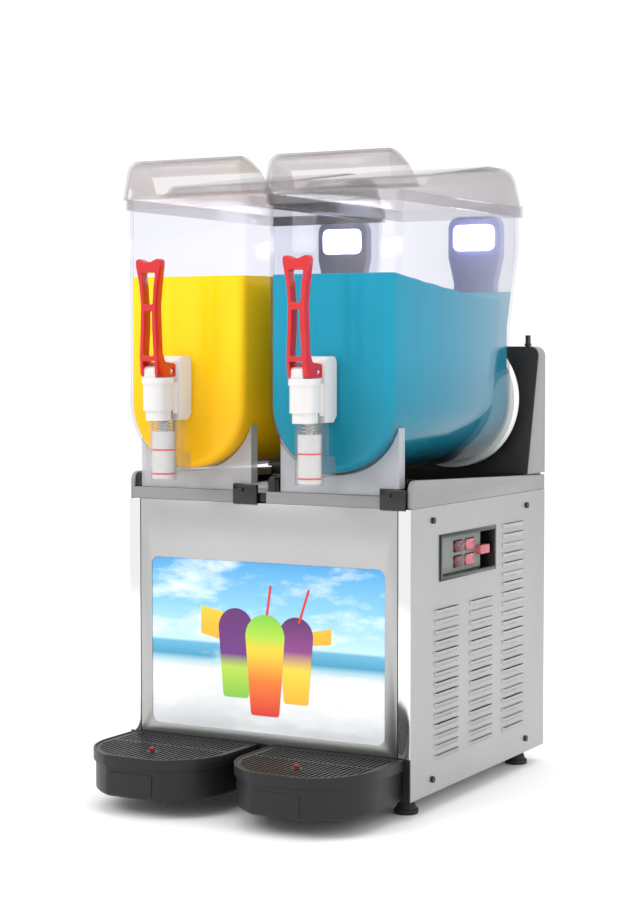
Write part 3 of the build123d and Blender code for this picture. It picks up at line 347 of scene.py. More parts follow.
# %% Plastic and rubber finishes
tray_abs = surface("charcoal_abs_satin", "#141415", (0.36, 0.48), 0.9, 0.03, other="#1B1B1C",
                   Specular_IOR_Level=0.35)
deck_abs = surface("black_abs_gloss", "#0D0D0E", (0.18, 0.32), 1.0, 0.015, other="#161617")
tower_abs = surface("black_abs_grained", "#0B0B0C", (0.42, 0.55), 1.0, 0.05, other="#121213")
trim_abs = surface("grey_abs_satin", "#8C8D8C", (0.3, 0.42), 1.0, 0.02, other="#80817F",
                   cloud=120)
white_acetal = surface("white_acetal", "#DCDADA", (0.18, 0.3), 1.2, 0.01, other="#D0CECD",
                       Subsurface_Weight=0.15, Subsurface_Scale=0.004)
white_auger = surface("white_moulded_auger", "#ECECEA", (0.3, 0.4), 1.2, 0.02)
red_abs = surface("red_gloss_abs", "#D3111C", (0.14, 0.24), 1.2, 0.01, other="#B60D17",
                  cloud=60, Coat_Weight=0.3, Coat_Roughness=0.1)
red_silicone = surface("red_silicone_ring", "#E00A16", (0.3, 0.4), 1.0, 0.01)
white_silicone = surface("white_silicone_seal", "#E4E3DF", (0.4, 0.5), 1.4, 0.02,
                         Subsurface_Weight=0.1, Subsurface_Scale=0.003)
black_rubber = surface("black_rubber", "#131313", (0.6, 0.75), 1.5, 0.05, other="#1B1B1B")
rocker_red = surface("maroon_rocker_plastic", "#4A0A16", (0.15, 0.25), 1.0, 0.01,
                     other="#651022", cloud=12)
rocker_pink = surface("pink_rocker_plastic", "#C46C74", (0.2, 0.3), 1.0, 0.01, other="#B0525E",
                      cloud=14, Subsurface_Weight=0.2, Subsurface_Scale=0.003)
plate_grey = surface("grey_switch_plate", "#6E7672", (0.35, 0.45), 0.9, 0.02)
board_white = surface("white_circuit_board", "#E6E6E0", (0.4, 0.5), 2.0, 0.01)
float_red = surface("dark_red_float", "#8C1420", (0.2, 0.3), 1.0, 0.01)

# %% [markdown]
# ## Clear plastic
# Bowls and lids are moulded polycarbonate. Real glass shading would bend every ray twice through
# a wall that hardly bends anything, and would keep the lamps' light out. A thin-pane mix is used
# instead: light goes straight through, a share is mirrored that grows with the sixth power of the
# slant, as on any clear plastic, a little is lost in haze, and the wall gets a painted shade that
# darkens it towards the edge colour where it is seen edge-on.

# %% Clear finishes


def clear_plastic(name, tint, edge, haze, haze_colour, roughness=0.06, straight=0.008):
    """A thin pane. straight is the share of light it mirrors when looked at square on."""
    made = bpy.data.materials.new(name)
    made.use_nodes = True
    tree = made.node_tree
    tree.nodes.remove(tree.nodes["Principled BSDF"])
    facing = add_node(tree, "LayerWeight", {"Blend": 0.5}).outputs["Facing"]
    # painted shade: the pane's colour turns to the darker edge colour as it is seen more edge-on
    edge_shade = add_node(tree, "Math", {0: facing, 1: 3.0}, operation="POWER").outputs[0]
    body = add_node(tree, "Mix", {0: edge_shade, 6: linear(tint), 7: linear(edge)},
                    data_type="RGBA").outputs[2]
    through = add_node(tree, "BsdfTransparent", {"Color": body}).outputs[0]
    ripple = add_node(tree, "TexNoise", {"Vector": place_on(tree), "Scale": 1000 / 45.0,
                                         "Detail": 1.0}).outputs["Fac"]
    bump = add_node(tree, "Bump", {"Height": ripple, "Distance": 0.3 * MM,
                                   "Strength": 0.35}).outputs[0]
    milky = add_node(tree, "BsdfDiffuse", {"Color": linear(haze_colour), "Normal": bump}).outputs[0]
    cloudy = add_node(tree, "MapRange", {"Value": ripple, "To Min": haze * 0.7,
                                         "To Max": haze * 1.3}).outputs[0]
    inside = add_node(tree, "MixShader", {0: cloudy, 1: through, 2: milky}).outputs[0]
    mirror = add_node(tree, "BsdfGlossy", {"Color": (1, 1, 1, 1), "Roughness": roughness,
                                           "Normal": bump}).outputs[0]
    grazing = add_node(tree, "Math", {0: facing, 1: 6.0}, operation="POWER").outputs[0]
    share = add_node(tree, "MapRange", {"Value": grazing, "To Min": straight,
                                        "To Max": 0.9}).outputs[0]
    whole = add_node(tree, "MixShader", {0: share, 1: inside, 2: mirror}).outputs[0]
    tree.links.new(whole, tree.nodes["Material Output"].inputs["Surface"])
    return made


bowl_clear = clear_plastic("clear_polycarbonate", "#FDFDFF", "#C4C6CF", 0.005, "#F6F6FA")
lid_clear = clear_plastic("clear_lid_polycarbonate", "#F4F2F2", "#A8A5AD", 0.045, "#E2DEDF", 0.1,
                          0.02)
skirt_clear = clear_plastic("frosted_skirt_polycarbonate", "#E6E7EA", "#B8BAC2", 0.42, "#DDDEE2",
                            0.18)
tube_clear = clear_plastic("clear_tap_tube", "#FAFAFA", "#D0CFD2", 0.06, "#F2F0F0", 0.04)

# %% [markdown]
# ## The drinks
# Slush is fine ice in coloured syrup: strong colour, light that sinks in and comes back out, a
# surface that is wet against the wall. A Principled shader gives the drink a painted glow of its own
# colour in place of that light coming back out, and a noise stretched upwards gives the faint
# streaks that the turning spiral leaves in it. The drink is painted darker low down, a painted
# shade where less of the lamps' light reaches it.

# %% Drink finishes


def drink(name, bright, deep, glow, low_z, high_z):
    made = bpy.data.materials.new(name)
    made.use_nodes = True
    tree = made.node_tree
    shader = tree.nodes["Principled BSDF"]
    where = add_node(tree, "TexCoord").outputs["Object"]
    height = add_node(tree, "SeparateXYZ", {0: where}).outputs["Z"]
    # painted shade: the colour runs from the darker deep colour low down to the bright colour higher up
    rise = add_node(tree, "MapRange", {"Value": height, "From Min": low_z, "From Max": high_z},
                    interpolation_type="SMOOTHSTEP").outputs[0]
    streak = add_node(tree, "TexNoise", {"Vector": place_on(tree, (1, 1, 0.12)),
                                         "Scale": 1000 / 22.0, "Detail": 3.0}).outputs["Fac"]
    share = add_node(tree, "MapRange", {"Value": streak, "From Min": 0.35, "From Max": 0.7,
                                        "To Min": 1.0, "To Max": 0.72}).outputs[0]
    mixing = add_node(tree, "Math", {0: rise, 1: share}, operation="MULTIPLY").outputs[0]
    colour = add_node(tree, "Mix", {0: mixing, 6: linear(deep), 7: linear(bright)},
                      data_type="RGBA").outputs[2]
    ice = add_node(tree, "TexNoise", {"Vector": place_on(tree), "Scale": 1000 / 2.5}).outputs["Fac"]
    bump = add_node(tree, "Bump", {"Height": ice, "Distance": 0.2 * MM, "Strength": 0.4}).outputs[0]
    # painted glow: the drink gives off its own colour as light, in place of light coming back out of the
    # ice
    for socket, source in (("Base Color", colour), ("Emission Color", colour), ("Normal", bump)):
        tree.links.new(source, shader.inputs[socket])
    for socket, value in (("Roughness", 0.5), ("Specular IOR Level", 0.2),
                          ("Emission Strength", glow), ("IOR", 1.15)):
        shader.inputs[socket].default_value = value
    return made


yellow_drink = drink("yellow_slush", "#FFD600", "#F4B800", 0.16, 0.45, 0.60)
blue_drink = drink("blue_slush", "#0094AE", "#007C8E", 0.12, 0.42, 0.58)

# %% [markdown]
# ## Lamps and the lit picture
# Each lamp post is a frosted shell with a bright window near its top. The front window holds a
# printed sheet lit from behind. Its picture is our own: sky, sea and sand in bands with soft
# clouds, painted by height with a colour ramp, and given a little light of its own.

# %% Lamp and picture finishes
lamp_clear = clear_plastic("frosted_lamp_plastic", "#C9CCEA", "#8C90C8", 0.55, "#B4B8E4", 0.2)


def glowing(name, code, strength):
    made = surface(name, code, (0.3, 0.4), 3.0, 0.01, Emission_Strength=strength)
    made.node_tree.nodes["Principled BSDF"].inputs["Emission Color"].default_value = linear(code)
    return made


lamp_light = glowing("lit_lamp_window", "#FBFCFF", 12.0)


def printed(name, bands, low_z, high_z, glow=0.05, cloud=0.0):
    """Ink on acrylic whose colour changes with height: bands are (share of the height, colour)."""
    made = bpy.data.materials.new(name)
    made.use_nodes = True
    tree = made.node_tree
    shader = tree.nodes["Principled BSDF"]
    where = add_node(tree, "TexCoord").outputs["Object"]
    height = add_node(tree, "SeparateXYZ", {0: where}).outputs["Z"]
    rise = add_node(tree, "MapRange", {"Value": height, "From Min": low_z,
                                       "From Max": high_z}).outputs[0]
    ramp = add_node(tree, "ValToRGB", {0: rise})
    stops = ramp.color_ramp.elements
    for number, (share, code) in enumerate(bands):
        stop = stops[number] if number < 2 else stops.new(share)
        stop.position = share
        stop.color = linear(code)
    wisps = add_node(tree, "TexNoise", {"Vector": place_on(tree, (0.35, 1, 1)), "Scale": 1000 / 42.0,
                                        "Detail": 5.0, "Roughness": 0.6}).outputs["Fac"]
    white = add_node(tree, "MapRange", {"Value": wisps, "From Min": 0.48, "From Max": 0.68,
                                        "To Max": cloud}).outputs[0]
    ink = add_node(tree, "Mix", {0: white, 6: ramp.outputs[0], 7: linear("#FFFFFF")},
                   data_type="RGBA").outputs[2]
    tree.links.new(ink, shader.inputs["Base Color"])
    tree.links.new(ink, shader.inputs["Emission Color"])
    for socket, value in (("Roughness", 0.16), ("Emission Strength", glow), ("IOR", 1.49)):
        shader.inputs[socket].default_value = value
    return made


window_low, window_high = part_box("graphic_panel")[0].z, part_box("graphic_panel")[1].z
BEACH = [(0.0, "#D9DEE2"), (1.0, "#3F97D2"), (0.22, "#EBEEEF"), (0.36, "#E4E7E6"),
         (0.40, "#A6CEDC"), (0.43, "#3F98BC"), (0.50, "#62AFCF"), (0.515, "#BCDFF0"),
         (0.72, "#82C2E6")]
beach_print = printed("printed_beach_picture", BEACH, window_low, window_high, cloud=0.75)
print(f"picture from z {window_low:.3f} to {window_high:.3f}")

# %% [markdown]
# ## Drawing solids by their outlines
# Most pieces here are moulded or pressed shapes that look simple from one side: a bowl from the
# front, a lid from the side, a tray from above. So each is drawn as an outline in millimetres and
# pulled through its length. Outlines are flat circles with as many points as the shape needs.

# %% Outlines and solids from them


def place(x, depth, z):
    """A point from millimetres: right of the machine's middle, behind the front sheet, up."""
    return Vector((x * MM, at(depth), z * MM))


def spot(x, depth, z):
    """The same, but with x counted from the middle of the right-hand bowl."""
    return place(x + bowl_x / MM, depth, z)


def arc(across, up, radius, begin, end, steps):
    """Points along an arc, with its angles in degrees."""
    turns = [math.radians(begin + (end - begin) * i / steps) for i in range(steps + 1)]
    return [(across + radius * math.cos(t), up + radius * math.sin(t)) for t in turns]


def rounded(corners, steps=5):
    """An outline whose corners, given as (across, up, radius), are rounded."""
    points = []
    for i, (across, up, radius) in enumerate(corners):
        here = Vector((across, up))
        if not radius:
            points.append(here)
            continue
        before = (Vector(corners[i - 1][:2]) - here).normalized()
        after = (Vector(corners[(i + 1) % len(corners)][:2]) - here).normalized()
        half = before.angle(after) / 2
        centre = here + (before + after).normalized() * radius / math.sin(half)
        first = here + before * radius / math.tan(half) - centre
        last = here + after * radius / math.tan(half) - centre
        points += [centre + first.slerp(last, step / steps).normalized() * radius
                   for step in range(steps + 1)]
    return points


def front_solid(name, points, near, far, origin=spot):
    """A shape seen from the front as (x, z), pulled from one depth to another."""
    flat = outline(name, [origin(x, near, z) for x, z in points])
    return pull(flat, (0, (far - near) * MM, 0))


def side_solid(name, points, left, right, origin=spot):
    """A shape seen from the side as (depth, z), pulled from one x to another."""
    flat = outline(name, [origin(left, depth, z) for depth, z in points])
    return pull(flat, ((right - left) * MM, 0, 0))


def top_solid(name, points, low, high, origin=spot):
    """A shape seen from above as (x, depth), pulled from one height to another."""
    flat = outline(name, [origin(x, depth, low) for x, depth in points])
    return pull(flat, (0, 0, (high - low) * MM))


def slab(name, x0, x1, near, far, low, high, origin=spot):
    return block(name, origin(x0, near, low), origin(x1, far, high))


# %% [markdown]
# ## Bowls
# A bowl is one clear moulding: a deep U with a flat front whose edge is well rounded, and a rear
# wall that leans back above the cold drum. It could be a subdivided box, but a pulled U keeps the
# walls truly flat, so reflections stay straight. Its inside is the same shape, smaller by the
# wall, and is cut out of it. A lip runs round the rim, and the drum's opening is cut in the rear.

# %% Bowl shells
RIM = rim_z / MM
AXIS = axis_z / MM
RADIUS = bowl_half / MM
FRONT, REAR, STEP_BACK = -25.0, 346.0, 28.0
STEP_Z, LEAN_Z, NOSE = 589.3, 691.0, 15.0
SIDES = ("right", "left")


def deep_u(name, inset, top):
    """A closed U-shaped solid with a rounded front edge and a rear that leans back."""
    radius = RADIUS - inset
    points = [(radius, top), (-radius, top)] + arc(0, AXIS, radius, 180, 360, 44)
    made = front_solid(name, points, FRONT + inset, REAR - inset)
    nose_y = at(FRONT + inset)
    choose(made, "EDGE", lambda edge: all(abs(v.co.y - nose_y) < 1e-5 for v in edge.verts)
           and middle(edge).z < (top - 1) * MM)
    bpy.ops.mesh.bevel(offset=(NOSE - inset) * MM, segments=7)
    for height in (STEP_Z, LEAN_Z):
        bpy.ops.mesh.select_all(action="SELECT")
        bpy.ops.mesh.bisect(plane_co=(0, 0, height * MM), plane_no=(0, 0, 1))
    choose(made, "VERT", lambda v: v.co.y > at(REAR - inset - 1) and v.co.z < (STEP_Z + 1) * MM)
    bpy.ops.transform.translate(value=(0, -STEP_BACK * MM, 0))
    start()
    return made


def rim_plan(reach, nose):
    """Outline of the bowl's rim from above, grown by reach, its front corners rounded."""
    half, near, far = RADIUS + reach, FRONT - reach, REAR + reach
    return rounded([(-half, near, nose), (half, near, nose), (half, far, 2), (-half, far, 2)], 8)


shell = deep_u("bowl", 0, RIM)
combine(shell, top_solid("rim", rim_plan(LIP / MM, NOSE + 1.5), RIM - 4, RIM), operation="UNION")
combine(shell, deep_u("inside", WALL / MM, RIM + 6),
        rod("opening", spot(0, 280, AXIS), spot(0, 330, AXIS), 80.4 * MM, 96))
soft_edges(shell, 0.5 * MM)
settle_pair(shell, "bowl_shell", bowl_clear, "bowl", "clear_plastic", "bowl", smooth=25)

# %% [markdown]
# Under the round bottom, a frosted apron stands on the deck and closes the two corners. It has
# short returns at its sides, and a notch at the right where the bowl's catch stands.

# %% Bowl apron
APRON = RADIUS - 4.4
foot_z, notch_z = deck_z / MM + 15.1, deck_z / MM + 23.6
reach_angle = math.degrees(math.acos(APRON / (RADIUS + 0.1)))
apron_points = [(-APRON, foot_z), (54.7, foot_z), (54.7, notch_z), (APRON, notch_z)]
apron_points += arc(0, AXIS, RADIUS + 0.1, 360 - reach_angle, 180 + reach_angle, 40)
apron = front_solid("apron", apron_points, 3.5, 6.5)
top_at_side = AXIS - (RADIUS + 0.1) * math.sin(math.radians(reach_angle))
for x0, x1, low in ((-APRON, -APRON + 3, foot_z), (APRON - 3, APRON, notch_z)):
    combine(apron, slab("return", x0, x1, 6, 18.5, low, top_at_side), operation="UNION")
soft_edges(apron, 0.5 * MM)
settle_pair(apron, "bowl_apron", skirt_clear, "bowl", "clear_plastic")

# %% [markdown]
# The tap's clear tube is part of the same moulding. A square duct joins it to the bowl, and a thin
# web above the duct holds it upright.

# %% Tap tube
TAP = -69.0
tube = rod("tube", spot(0, TAP, 401), spot(0, TAP, 474), 17 * MM, 72)
combine(tube, slab("duct", -11, 11, TAP, FRONT, 410, 434), slab("web", -2, 2, -59, FRONT, 430, 482),
        operation="UNION")
combine(tube, rod("bore", spot(0, TAP, 390), spot(0, TAP, 500), 14.5 * MM, 72),
        slab("passage", -8, 8, TAP, FRONT + 5, 413, 431))
soft_edges(tube, 0.6 * MM)
settle_pair(tube, "tap_tube", tube_clear, "bowl", "clear_plastic", smooth=30)

# %% [markdown]
# ## Drinks in the bowls
# The slush fills the bowl to a hand's breadth under the rim, a hair clear of the wall. It is drawn
# from the side, so its top can be level in one bowl and dug out in waves in the other, and then
# trimmed to the bowl's inside. Round the drum it is hollow, because the spiral turns there and the
# bowl has to slide off with its drink.

# %% Slush
level = 650.0
yellow_top = [(-24, level), (40, level + 1), (110, level - 1), (180, level), (250, level + 1),
              (345, level - 1)]
blue_top = [(-24, level), (-8, level), (20, 646.5), (48, 644), (70, 641), (96, 639.5), (120, 636),
            (150, 634.5), (176, 631), (205, 629.5), (226, 626.5), (252, 627), (268, 624.5),
            (284, 626), (296, 624.8), (306, 630), (318, 631), (328, 636), (345, 639)]
for side, top_line, finish in (("right", blue_top, blue_drink), ("left", yellow_top, yellow_drink)):
    slush = side_solid("slush", top_line + [(345, 380), (-24, 380)], -95, 95)
    change(slush, "BOOLEAN", operation="INTERSECT", solver="EXACT",
           object=deep_u("inside", WALL / MM + 0.25, RIM))
    bpy.data.objects.remove(bpy.data.objects["inside"])
    combine(slush, rod("drum_room", spot(0, 34, AXIS), spot(0, 400, AXIS), 80.2 * MM, 96))
    if side == "left":
        slush.data.transform(Matrix.Translation(twin_step))
    slush.name = "slush_" + side
    settle(slush, finish, "bowl_" + side, "clear_plastic", smooth=40)
    del slush["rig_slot"]

# %% [markdown]
# ## Lids
# Seen from the side a lid has a steep front crest, a dip for the fingers and a long rear crest;
# seen from the front it is a trapezium with round shoulders. The two outlines are crossed to make
# the dome, the dome joins a band that hangs round the rim, and the same shapes 2 mm smaller are
# cut out from below.

# %% Lid shells


def lid_side(inset):
    near, far = -27.3 + inset, 348.3 - inset
    crest, rise, grip = RIM + 49 - inset, RIM + 50 - inset, RIM + 9 - inset
    return rounded([(near, RIM - 1, 0), (near + 3, crest - 10, 5), (near + 14, crest, 8),
                    (near + 28, crest - 2, 14), (near + 54, crest - 16, 10), (near + 72, grip, 12),
                    (near + 88, grip, 14), (near + 106, RIM + 24 - inset, 20),
                    (far - 80, rise - 1, 60), (far - 22, rise, 16), (far - 6, rise - 14, 10),
                    (far, RIM - 1, 0)], 6)


def dome(name, inset):
    half = RADIUS + 2.3 - inset
    made = side_solid(name, lid_side(inset), -half, half)
    top = RIM + 51.5 - inset
    section = rounded([(-half, RIM - 2, 0), (half, RIM - 2, 0), (half - 9, top, 13),
                       (-half + 9, top, 13)], 7)
    cutter = front_solid("section", section, -60, 400)
    change(made, "BOOLEAN", operation="INTERSECT", solver="EXACT", object=cutter)
    bpy.data.objects.remove(cutter)
    return soft_edges(made, 2.4 * MM, 3, 40)


lid = top_solid("lid", rim_plan(4.3, NOSE + 4), RIM - 13, RIM + 2)
combine(lid, dome("dome", 0), operation="UNION")
room = top_solid("room", rim_plan(2.3, NOSE + 2), RIM - 30, RIM)
combine(lid, room, dome("hollow", 2.0))
soft_edges(lid, 0.4 * MM)
settle_pair(lid, "lid_shell", lid_clear, "lid", "clear_plastic", "lid", smooth=30)

# %% [markdown]
# ## Taps
# A white collar sits on the tube and carries the lever. It is a stadium shape in steps, wider at
# its top, with a round-shouldered hook against the bowl behind it and a lug in front for the
# lever's stubs. Each part is an outline pulled to its height, and the parts are joined.

# %% Tap collars


def stadium(near, far, radius):
    """Outline from above of a bar with round ends, from (x, depth) points."""
    return arc(0, near, radius, 180, 360, 18) + arc(0, far, radius, 0, 180, 18)


collar = top_solid("collar", stadium(-86, -75, 15), 486, 526)
combine(collar, top_solid("neck", stadium(-84, -75, 13), 474, 487),
        top_solid("cap", stadium(-86, -75, 16.5), 518, 526),
        slab("bridge", -10, 10, -75, -45, 482, 520),
        side_solid("hook", rounded([(-53, 474, 0), (-33, 474, 0), (-25, 482, 0), (-25, 552, 9),
                                    (-53, 552, 9)], 7), -12.5, 12.5),
        side_solid("lug", [(-99, 525), (-85, 525), (-85, 534), (-99, 534)], -8, 8),
        rod("eye", spot(-8, -93, 534), spot(8, -93, 534), 6 * MM, 40), operation="UNION")
combine(collar, rod("chamber", spot(0, TAP, 470), spot(0, TAP, 512), 11.5 * MM, 48),
        rod("stem_way", spot(0, TAP, 470), spot(0, TAP, 540), 5.3 * MM, 32),
        rod("pivot", spot(-20, -93, 534), spot(20, -93, 534), 3.05 * MM, 32),
        slab("web_slot", -2.3, 2.3, -59.3, -24, 470, 484.3),
        slab("groove_right", 13.6, 20, -73.5, -70.5, 489, 517),
        slab("groove_left", -20, -13.6, -73.5, -70.5, 489, 517))
soft_edges(collar, 1.0 * MM, 3)
settle_pair(collar, "tap_collar", white_acetal, "bowl", "white_plastic", "tap_body", smooth=38)

# %% [markdown]
# The lever is a red ladder: two legs, a bar between its two windows, and a wide thumb pad with a
# wave in its top. From behind, two cheeks hold its stubs and the slots for the piston's cross pin.

# %% Tap levers
right_edge = [(12.5, 546, 1.5), (11.0, 586, 0), (10.2, 612, 20), (12.6, 638, 20), (17.2, 659, 6),
              (17.6, 666, 2.5), (14.0, 669, 3), (9.5, 667.4, 6), (4.0, 665.0, 6)]
left_edge = [(-x, z, radius) for x, z, radius in reversed(right_edge)]
lever = front_solid("lever", rounded(right_edge + left_edge), -102, -88)
lower_gap = [(-7.6, 552, 2), (7.6, 552, 2), (5.6, 586, 0), (5.4, 606, 2), (-5.4, 606, 2), (-5.6, 586, 0)]
upper_gap = [(-6.4, 614, 2), (6.4, 614, 2), (7.6, 634, 10), (10.2, 652, 2), (-10.2, 652, 2),
             (-7.6, 634, 10)]
combine(lever, *[front_solid("gap", rounded(gap), -120, -70) for gap in (lower_gap, upper_gap)])
choose(lever, "VERT", lambda v: v.co.z > 0.655 and v.co.y > at(-95))
bpy.ops.transform.translate(value=(0, -3 * MM, 0))
start()
soft_edges(lever, 1.3 * MM, 3, 50)
cheek_side = rounded([(-102, 556, 2), (-100.6, 528, 3), (-93, 526.8, 0), (-60, 526.8, 2),
                      (-60, 543, 4), (-83, 545, 6), (-88, 556, 2)])
for hand in (-1, 1):
    near, far = sorted((hand * 8.3, hand * 12.5))
    cheek = side_solid("cheek", cheek_side, near, far)
    combine(cheek, slab("slot", near - 2, far + 2, -71.6, -63.3, 530.3, 536.6))
    soft_edges(cheek, 0.8 * MM, 2, 50)
    stub = rod("stub", spot(hand * 4.5, -93, 534), spot(hand * 9.3, -93, 534), 3 * MM, 32)
    combine(lever, cheek, stub, operation="UNION")
settle_pair(lever, "tap_handle", red_abs, "lever", "red_plastic", "tap_lever", smooth=42)

# %% [markdown]
# ## Finishing the CAD's own pieces
# Flat sheets, posts and housings already have the right shape in the CAD, but its edges are razor
# sharp and a real edge always catches a line of light. A CAD mesh may not be changed, so a copy
# stands in for it: its loose triangles are merged, flat areas are dissolved into single faces,
# and a narrow bevel rounds the edges.

# %% Softened copies


def soften(node, material, slot, width, steps=2, angle=30):
    """A copy of a CAD node with merged faces and rounded edges that takes the node's place."""
    source = frame["nodes"][node]
    made = copied(source, node + "_finished")
    start(made)
    bpy.ops.mesh.customdata_custom_splitnormals_clear()
    bpy.ops.object.mode_set(mode="EDIT")
    bpy.ops.mesh.select_all(action="SELECT")
    bpy.ops.mesh.remove_doubles(threshold=0.00001)
    bpy.ops.mesh.dissolve_limited(angle_limit=math.radians(1))
    start(made)
    soft_edges(made, width * MM, steps, angle)
    return settle(made, material, source["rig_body"], slot, node)


SOFTENED = [("corner_posts", polished_steel, "polished_strip", 0.5),
            ("front_panel", brushed_steel, "stainless_sheet", 0.35),
            ("deck_trims", trim_abs, "grey_plastic", 1.2),
            ("rear_tower", tower_abs, "black_plastic", 0.8),
            ("tower_cover", trim_abs, "grey_plastic", 0.8),
            ("lamp_posts", lamp_clear, "lamp_plastic", 1.5),
            ("lower_front_bar", tray_abs, "black_plastic", 1.0),
            ("control_panel", deck_abs, "black_plastic", 0.35),
            ("mode_selector", rocker_pink, "pink_plastic", 0.8),
            ("rear_panel", brushed_steel, "stainless_sheet", 0.4),
            ("feet", black_rubber, "black_rubber", 0.8),
            ("power_switch", rocker_red, "dark_red_plastic", 0.6),
            ("light_switch", rocker_red, "dark_red_plastic", 0.6),
            ("left_bowl_switch", rocker_pink, "pink_plastic", 1.0),
            ("right_bowl_switch", rocker_pink, "pink_plastic", 1.0)]
for hand in SIDES:
    SOFTENED += [("deck_" + hand, deck_abs, "black_plastic", 0.8),
                 ("bowl_catch_" + hand, deck_abs, "black_plastic", 0.8),
                 ("thickness_knob_" + hand, deck_abs, "black_plastic", 0.4)]
for node, finish, slot, width in SOFTENED:
    soften(node, finish, slot, width)

# %% [markdown]
# ## Drip trays
# A tray is moulded in charcoal ABS: straight sides, a round nose cut off by a flat facet, a band
# round its top and a slimmer body under it with a raised panel in front. It hangs on two tongues,
# so two blocks inside it hold the sockets. Its outline from above is written out here, but each
# tray is the CAD's own shape, copied with soft edges.

# %% Tray bodies
TRAY_HALF, NOSE_DEPTH, FACET = 92.0, -62.0, -147.0
tray_low, tray_high = (corner.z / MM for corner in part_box("drip_tray_right"))
tray_x = sum(corner.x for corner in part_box("drip_tray_right")) / 2
tray_step = Vector((-2 * tray_x, 0, 0))


def by_tray(x, depth, z):
    return place(x + tray_x / MM, depth, z)


def tray_plan(inset):
    radius, front = TRAY_HALF - inset, FACET + inset
    turn = math.degrees(math.asin((NOSE_DEPTH - front) / radius))
    return ([(radius, -1 - inset), (-radius, -1 - inset)]
            + arc(0, NOSE_DEPTH, radius, 180, 180 + turn, 16)
            + arc(0, NOSE_DEPTH, radius, 360 - turn, 360, 16))


def tray_solid(name, inset, low, high):
    return top_solid(name, tray_plan(inset), low, high, by_tray)


for hand in SIDES:
    soften("drip_tray_" + hand, tray_abs, "black_plastic", 1.0, 3)

# %% [markdown]
# ## Side panels and their louvres
# A press pushes each louvre out of the sheet with one stroke: the slit is cut along its top, the
# metal under it bulges, and a round hole at one end stops the slit from tearing. One hood is made
# from a box whose lower edge is pushed flush and whose ends are drawn in, hollowed, then copied.

# %% One louvre hood
LOUVRE_LONG, LOUVRE_TALL, PITCH = 67.0, 6.4, 12.7
LOUVRES = [(depth, 60.0 + row * PITCH) for depth, rows in ((66, 15), (168, 15), (269, 22))
           for row in range(rows)]
side_x = cabinet_half / MM


def wedge(name, depth, z, inset, deep):
    """A wedge that leans out of the sheet towards its top, with drawn-in ends."""
    made = slab(name, side_x - deep, side_x + 3 - inset, depth + inset, depth + LOUVRE_LONG - inset,
                z + inset, z + LOUVRE_TALL, place)
    out = side_x * MM + 0.5 * MM
    choose(made, "VERT", lambda v: v.co.x > out and v.co.z < (z + inset + 1) * MM)
    bpy.ops.transform.translate(value=(-(3 - inset) * MM, 0, 0))
    for end, move in ((depth + inset, 3.5), (depth + LOUVRE_LONG - inset, -3.5)):
        choose(made, "VERT", lambda v: v.co.x > out and abs(v.co.y - at(end)) < 1e-4)
        bpy.ops.transform.translate(value=(0, move * MM, 0))
    start()
    return made


first_depth, first_z = LOUVRES[0]
hood = soft_edges(wedge("hood", first_depth, first_z, 0, 0.6), 1.1 * MM, 3, 20)
combine(hood, wedge("hollow", first_depth, first_z, 0.7, 2.0))
slit = slab("slit", side_x - 3, side_x + 3, first_depth + 1, first_depth + LOUVRE_LONG - 1,
            first_z + 1.5, first_z + LOUVRE_TALL - 0.1, place)
stop = rod("stop", place(side_x - 3, first_depth + LOUVRE_LONG + 0.4, first_z + LOUVRE_TALL - 1.2),
           place(side_x + 6, first_depth + LOUVRE_LONG + 0.4, first_z + LOUVRE_TALL - 1.2), 1.9 * MM, 16)
combine(slit, stop, operation="UNION")


def row_of(piece, name):
    """Copies of a piece at every louvre, joined into one object."""
    copies = [copied(piece, name, (0, (depth - first_depth) * MM, (z - first_z) * MM))
              for depth, z in LOUVRES]
    start(copies[0])
    for copy in copies:
        copy.select_set(True)
    bpy.ops.object.join()
    return copies[0]


hoods, slits = row_of(hood, "hoods"), row_of(slit, "slits")
for spare in (hood, slit):
    bpy.data.objects.remove(spare)
print(f"{len(LOUVRES)} louvres, {len(hoods.data.polygons)} faces")

# %% [markdown]
# The sheet itself gets its slits, the window for the controls and the screw holes. The left side
# is the same without the window, so it is mirrored and turned the right way out again.

# %% Side sheets


def side_sheet(name, with_window):
    sheet = slab(name, side_x - 1, side_x, 1.4, 409, 22, deck_z / MM, place)
    combine(sheet, copied(slits, "slits_cut"))
    if with_window:
        combine(sheet, slab("window", side_x - 5, side_x + 5, 83, 242, 281, 332, place))
    for depth, z in ((61, 39), (61, 354), (347, 40), (347, 353)):
        combine(sheet, rod("hole", place(side_x - 4, depth, z), place(side_x + 4, depth, z),
                           2.2 * MM, 24))
    others = copied(hoods, "hoods_joined")
    start(sheet)
    others.select_set(True)
    bpy.ops.object.join()
    return sheet


right_sheet, left_sheet = side_sheet("side_sheet_right", True), side_sheet("side_sheet_left", False)
left_sheet.scale = (-1, 1, 1)
settle_place(left_sheet)
choose(left_sheet, "FACE", lambda face: True)
bpy.ops.mesh.normals_make_consistent(inside=False)
start()
for spare in (hoods, slits):
    bpy.data.objects.remove(spare)
settle(right_sheet, brushed_steel, "cabinet", "stainless_sheet", "side_panel_right")
settle(left_sheet, brushed_steel, "cabinet", "stainless_sheet", "side_panel_left")

# %% [markdown]
# ## Switch plate
# A thin grey plate covers the shallow part of the control recess. The rockers come up through it.

